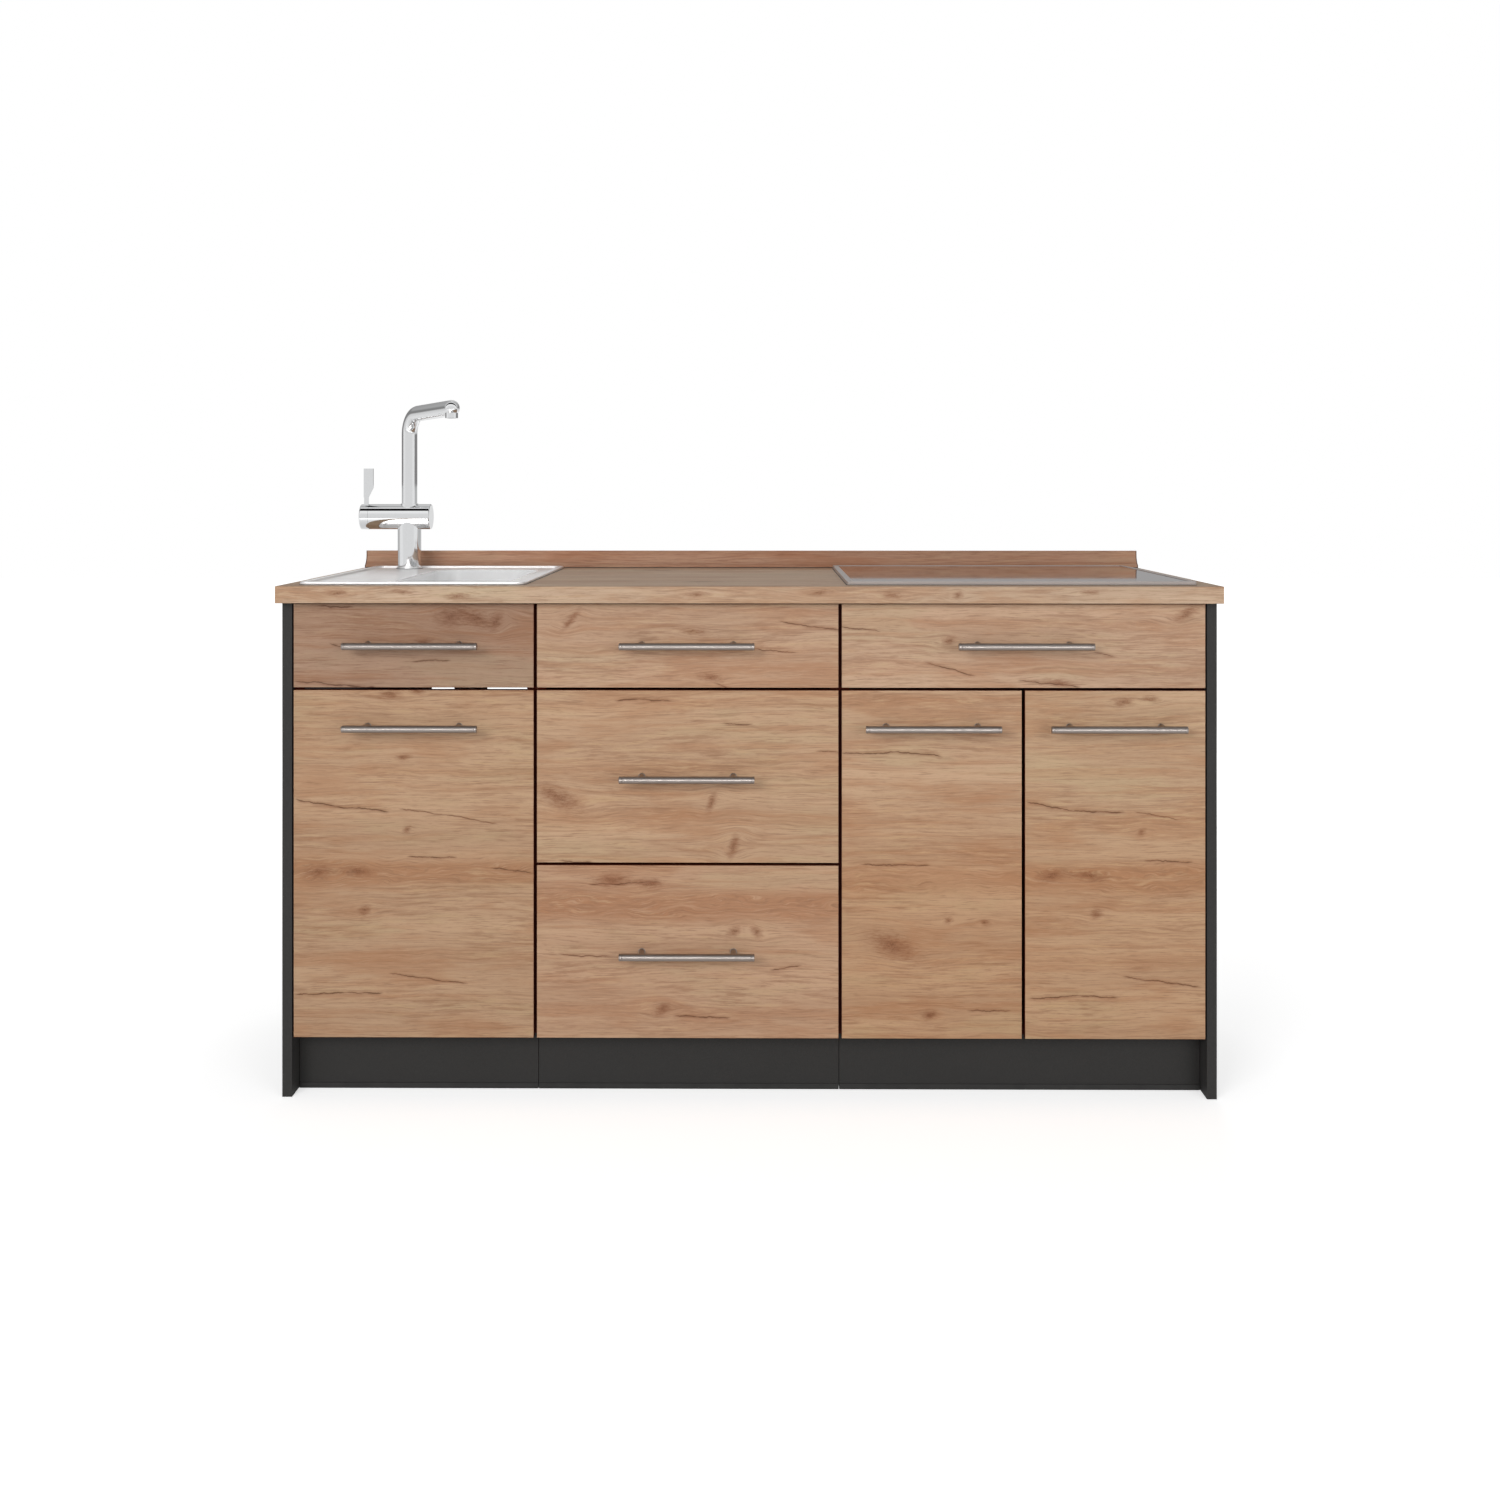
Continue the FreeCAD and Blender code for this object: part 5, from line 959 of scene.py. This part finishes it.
def seen_directly(t, mirrored):
    """1 for the camera's rays, a level of its own in mirrors, 0 for all other light."""
    path = t.add("LightPath").outputs
    camera_rays = t.math("MAXIMUM", path["Is Camera Ray"], path["Is Transmission Ray"])
    return t.math("MAXIMUM", camera_rays, t.times(path["Is Glossy Ray"], mirrored))


# The floor glows towards the camera, so that it ends in the white of the room behind it,
# and mirrors see less of that glow.
FLOOR_MIRRORED, FLOOR_NEAR, FLOOR_FAR = 0.50, (1.1, 0.60), (3.4, 1.0)   # (distance, level)
floor_mesh = bpy.data.meshes.new("floor")
floor_mesh.from_pydata([(-14, -9, 0), (14, -9, 0), (14, 14, 0), (-14, 14, 0)], [], [(0, 1, 2, 3)])
floor = bpy.data.objects.new("floor", floor_mesh)
scene.collection.objects.link(floor)
t = material("floor")
x, y, _ = t.place()[1]
level = t.span(t.length(x, y), FLOOR_NEAR[0], FLOOR_FAR[0], FLOOR_NEAR[1], FLOOR_FAR[1])
matt = t.add("BsdfDiffuse")
matt.inputs["Color"].default_value = grey(0.80)
glow = t.add("Emission")
t.put(glow.inputs["Strength"], t.times(seen_directly(t, FLOOR_MIRRORED), level))
both = t.add("AddShader")
t.put(both.inputs[0], matt)
t.put(both.inputs[1], glow)
t.put(t.add("OutputMaterial").inputs[0], both)
floor_mesh.materials.append(t.data)


def ramp(t, value, first, last, stops):
    """A run between two end colours, with greys (place, level) on the way."""
    node = t.add("ValToRGB")
    elements = node.color_ramp.elements
    elements[0].color, elements[1].color = first, last
    for where, level in stops:
        elements.new(where).color = grey(level)
    t.put(node.inputs[0], value)
    return node


# The room: plain white to the camera, dimmer as light, and drawn in greys for metal and glass.
ROOM_LIGHT, ROOM_MIRRORED = 0.28, 1.14
world = bpy.data.worlds.new("studio")
scene.world = world
t = Tree(world)
aim = t.add("SeparateXYZ")
t.put(aim.inputs[0], t.add("TexCoord").outputs["Generated"])
ahead = t.times(aim.outputs[1], -1.0)
over_head = t.math("DIVIDE", t.math("ARCTAN2", aim.outputs[2], ahead), math.pi)
to_side = t.math("DIVIDE", t.math("ARCTAN2", aim.outputs[0], ahead), math.pi)
# From the room in front, over the ceiling with its dark gap, to the wall behind.
ceiling = ramp(t, over_head, grey(0.78), (0.38, 0.37, 0.37, 1),
               ((0.12, 0.78), (0.24, 0.96), (0.31, 0.94), (0.32, 0.01), (0.45, 0.01),
                (0.46, 0.88), (0.58, 0.70), (0.81, 0.66), (0.87, 0.38)))
# From straight ahead to both sides: a bright strip, then dimmer corners.
sides = ramp(t, t.math("ABSOLUTE", to_side), grey(0.90), grey(0.90),
             ((0.26, 0.90), (0.34, 1.0), (0.50, 1.0), (0.56, 0.62), (0.78, 0.55), (0.90, 0.90)))
room = t.mix(1.0, ceiling, sides, "MULTIPLY")
room = t.mix(1.0, room, grey(ROOM_MIRRORED), "MULTIPLY")
in_mirrors = t.add("LightPath").outputs["Is Glossy Ray"]
sky = t.add("Background")
t.put(sky.inputs["Color"], t.mix(in_mirrors, grey(1), room))
t.put(sky.inputs["Strength"], t.span(seen_directly(t, 1.0), 0.0, 1.0, ROOM_LIGHT, 1.0, False))
t.put(t.add("OutputWorld").inputs[0], sky)


def lamp(name, place, aim, size, watts, lit=None):
    """A soft rectangle of light. With a list, it lights and shows in those pieces alone."""
    data = bpy.data.lights.new(name, "AREA")
    data.shape = "RECTANGLE"
    data.size, data.size_y = size
    data.energy = watts
    obj = bpy.data.objects.new(name, data)
    scene.collection.objects.link(obj)
    obj.location = place
    obj.rotation_euler = (Vector(aim) - Vector(place)).to_track_quat("-Z", "Y").to_euler()
    obj.visible_glossy = lit is not None
    if lit:
        obj.light_linking.receiver_collection = bpy.data.collections.new("lit_by_" + name)
        for piece_name in lit:
            obj.light_linking.receiver_collection.objects.link(bpy.data.objects[piece_name])


BARS = ["bar_handle_" + name for name in HANDLES]
SINK = ["sink_deck", "sink_bowl", "sink_basket", "sink_waste"]
lamp("key", (-1.9, -3.9, 2.1), (0, 0, 0.45), (2.2, 1.6), 78)
lamp("fill", (2.2, -3.6, 1.2), (0, 0, 0.45), (2.2, 1.8), 44)
lamp("rear", (0.4, 3.4, 1.9), (0, 0, 0.5), (2.6, 1.4), 50)
lamp("strip", (0, -4.6, 0.86), (0, 0, 0.6), (5.6, 0.30), 84, BARS)
lamp("card_back", (-0.4, 3.2, 1.15), (-0.5, 0, 0.84), (4.5, 1.0), 10, SINK)
lamp("card_front", (-0.9, -1.6, 2.4), (-0.5, 0, 0.75), (1.6, 1.2), 42, SINK)
scene.view_settings.view_transform = "Standard"
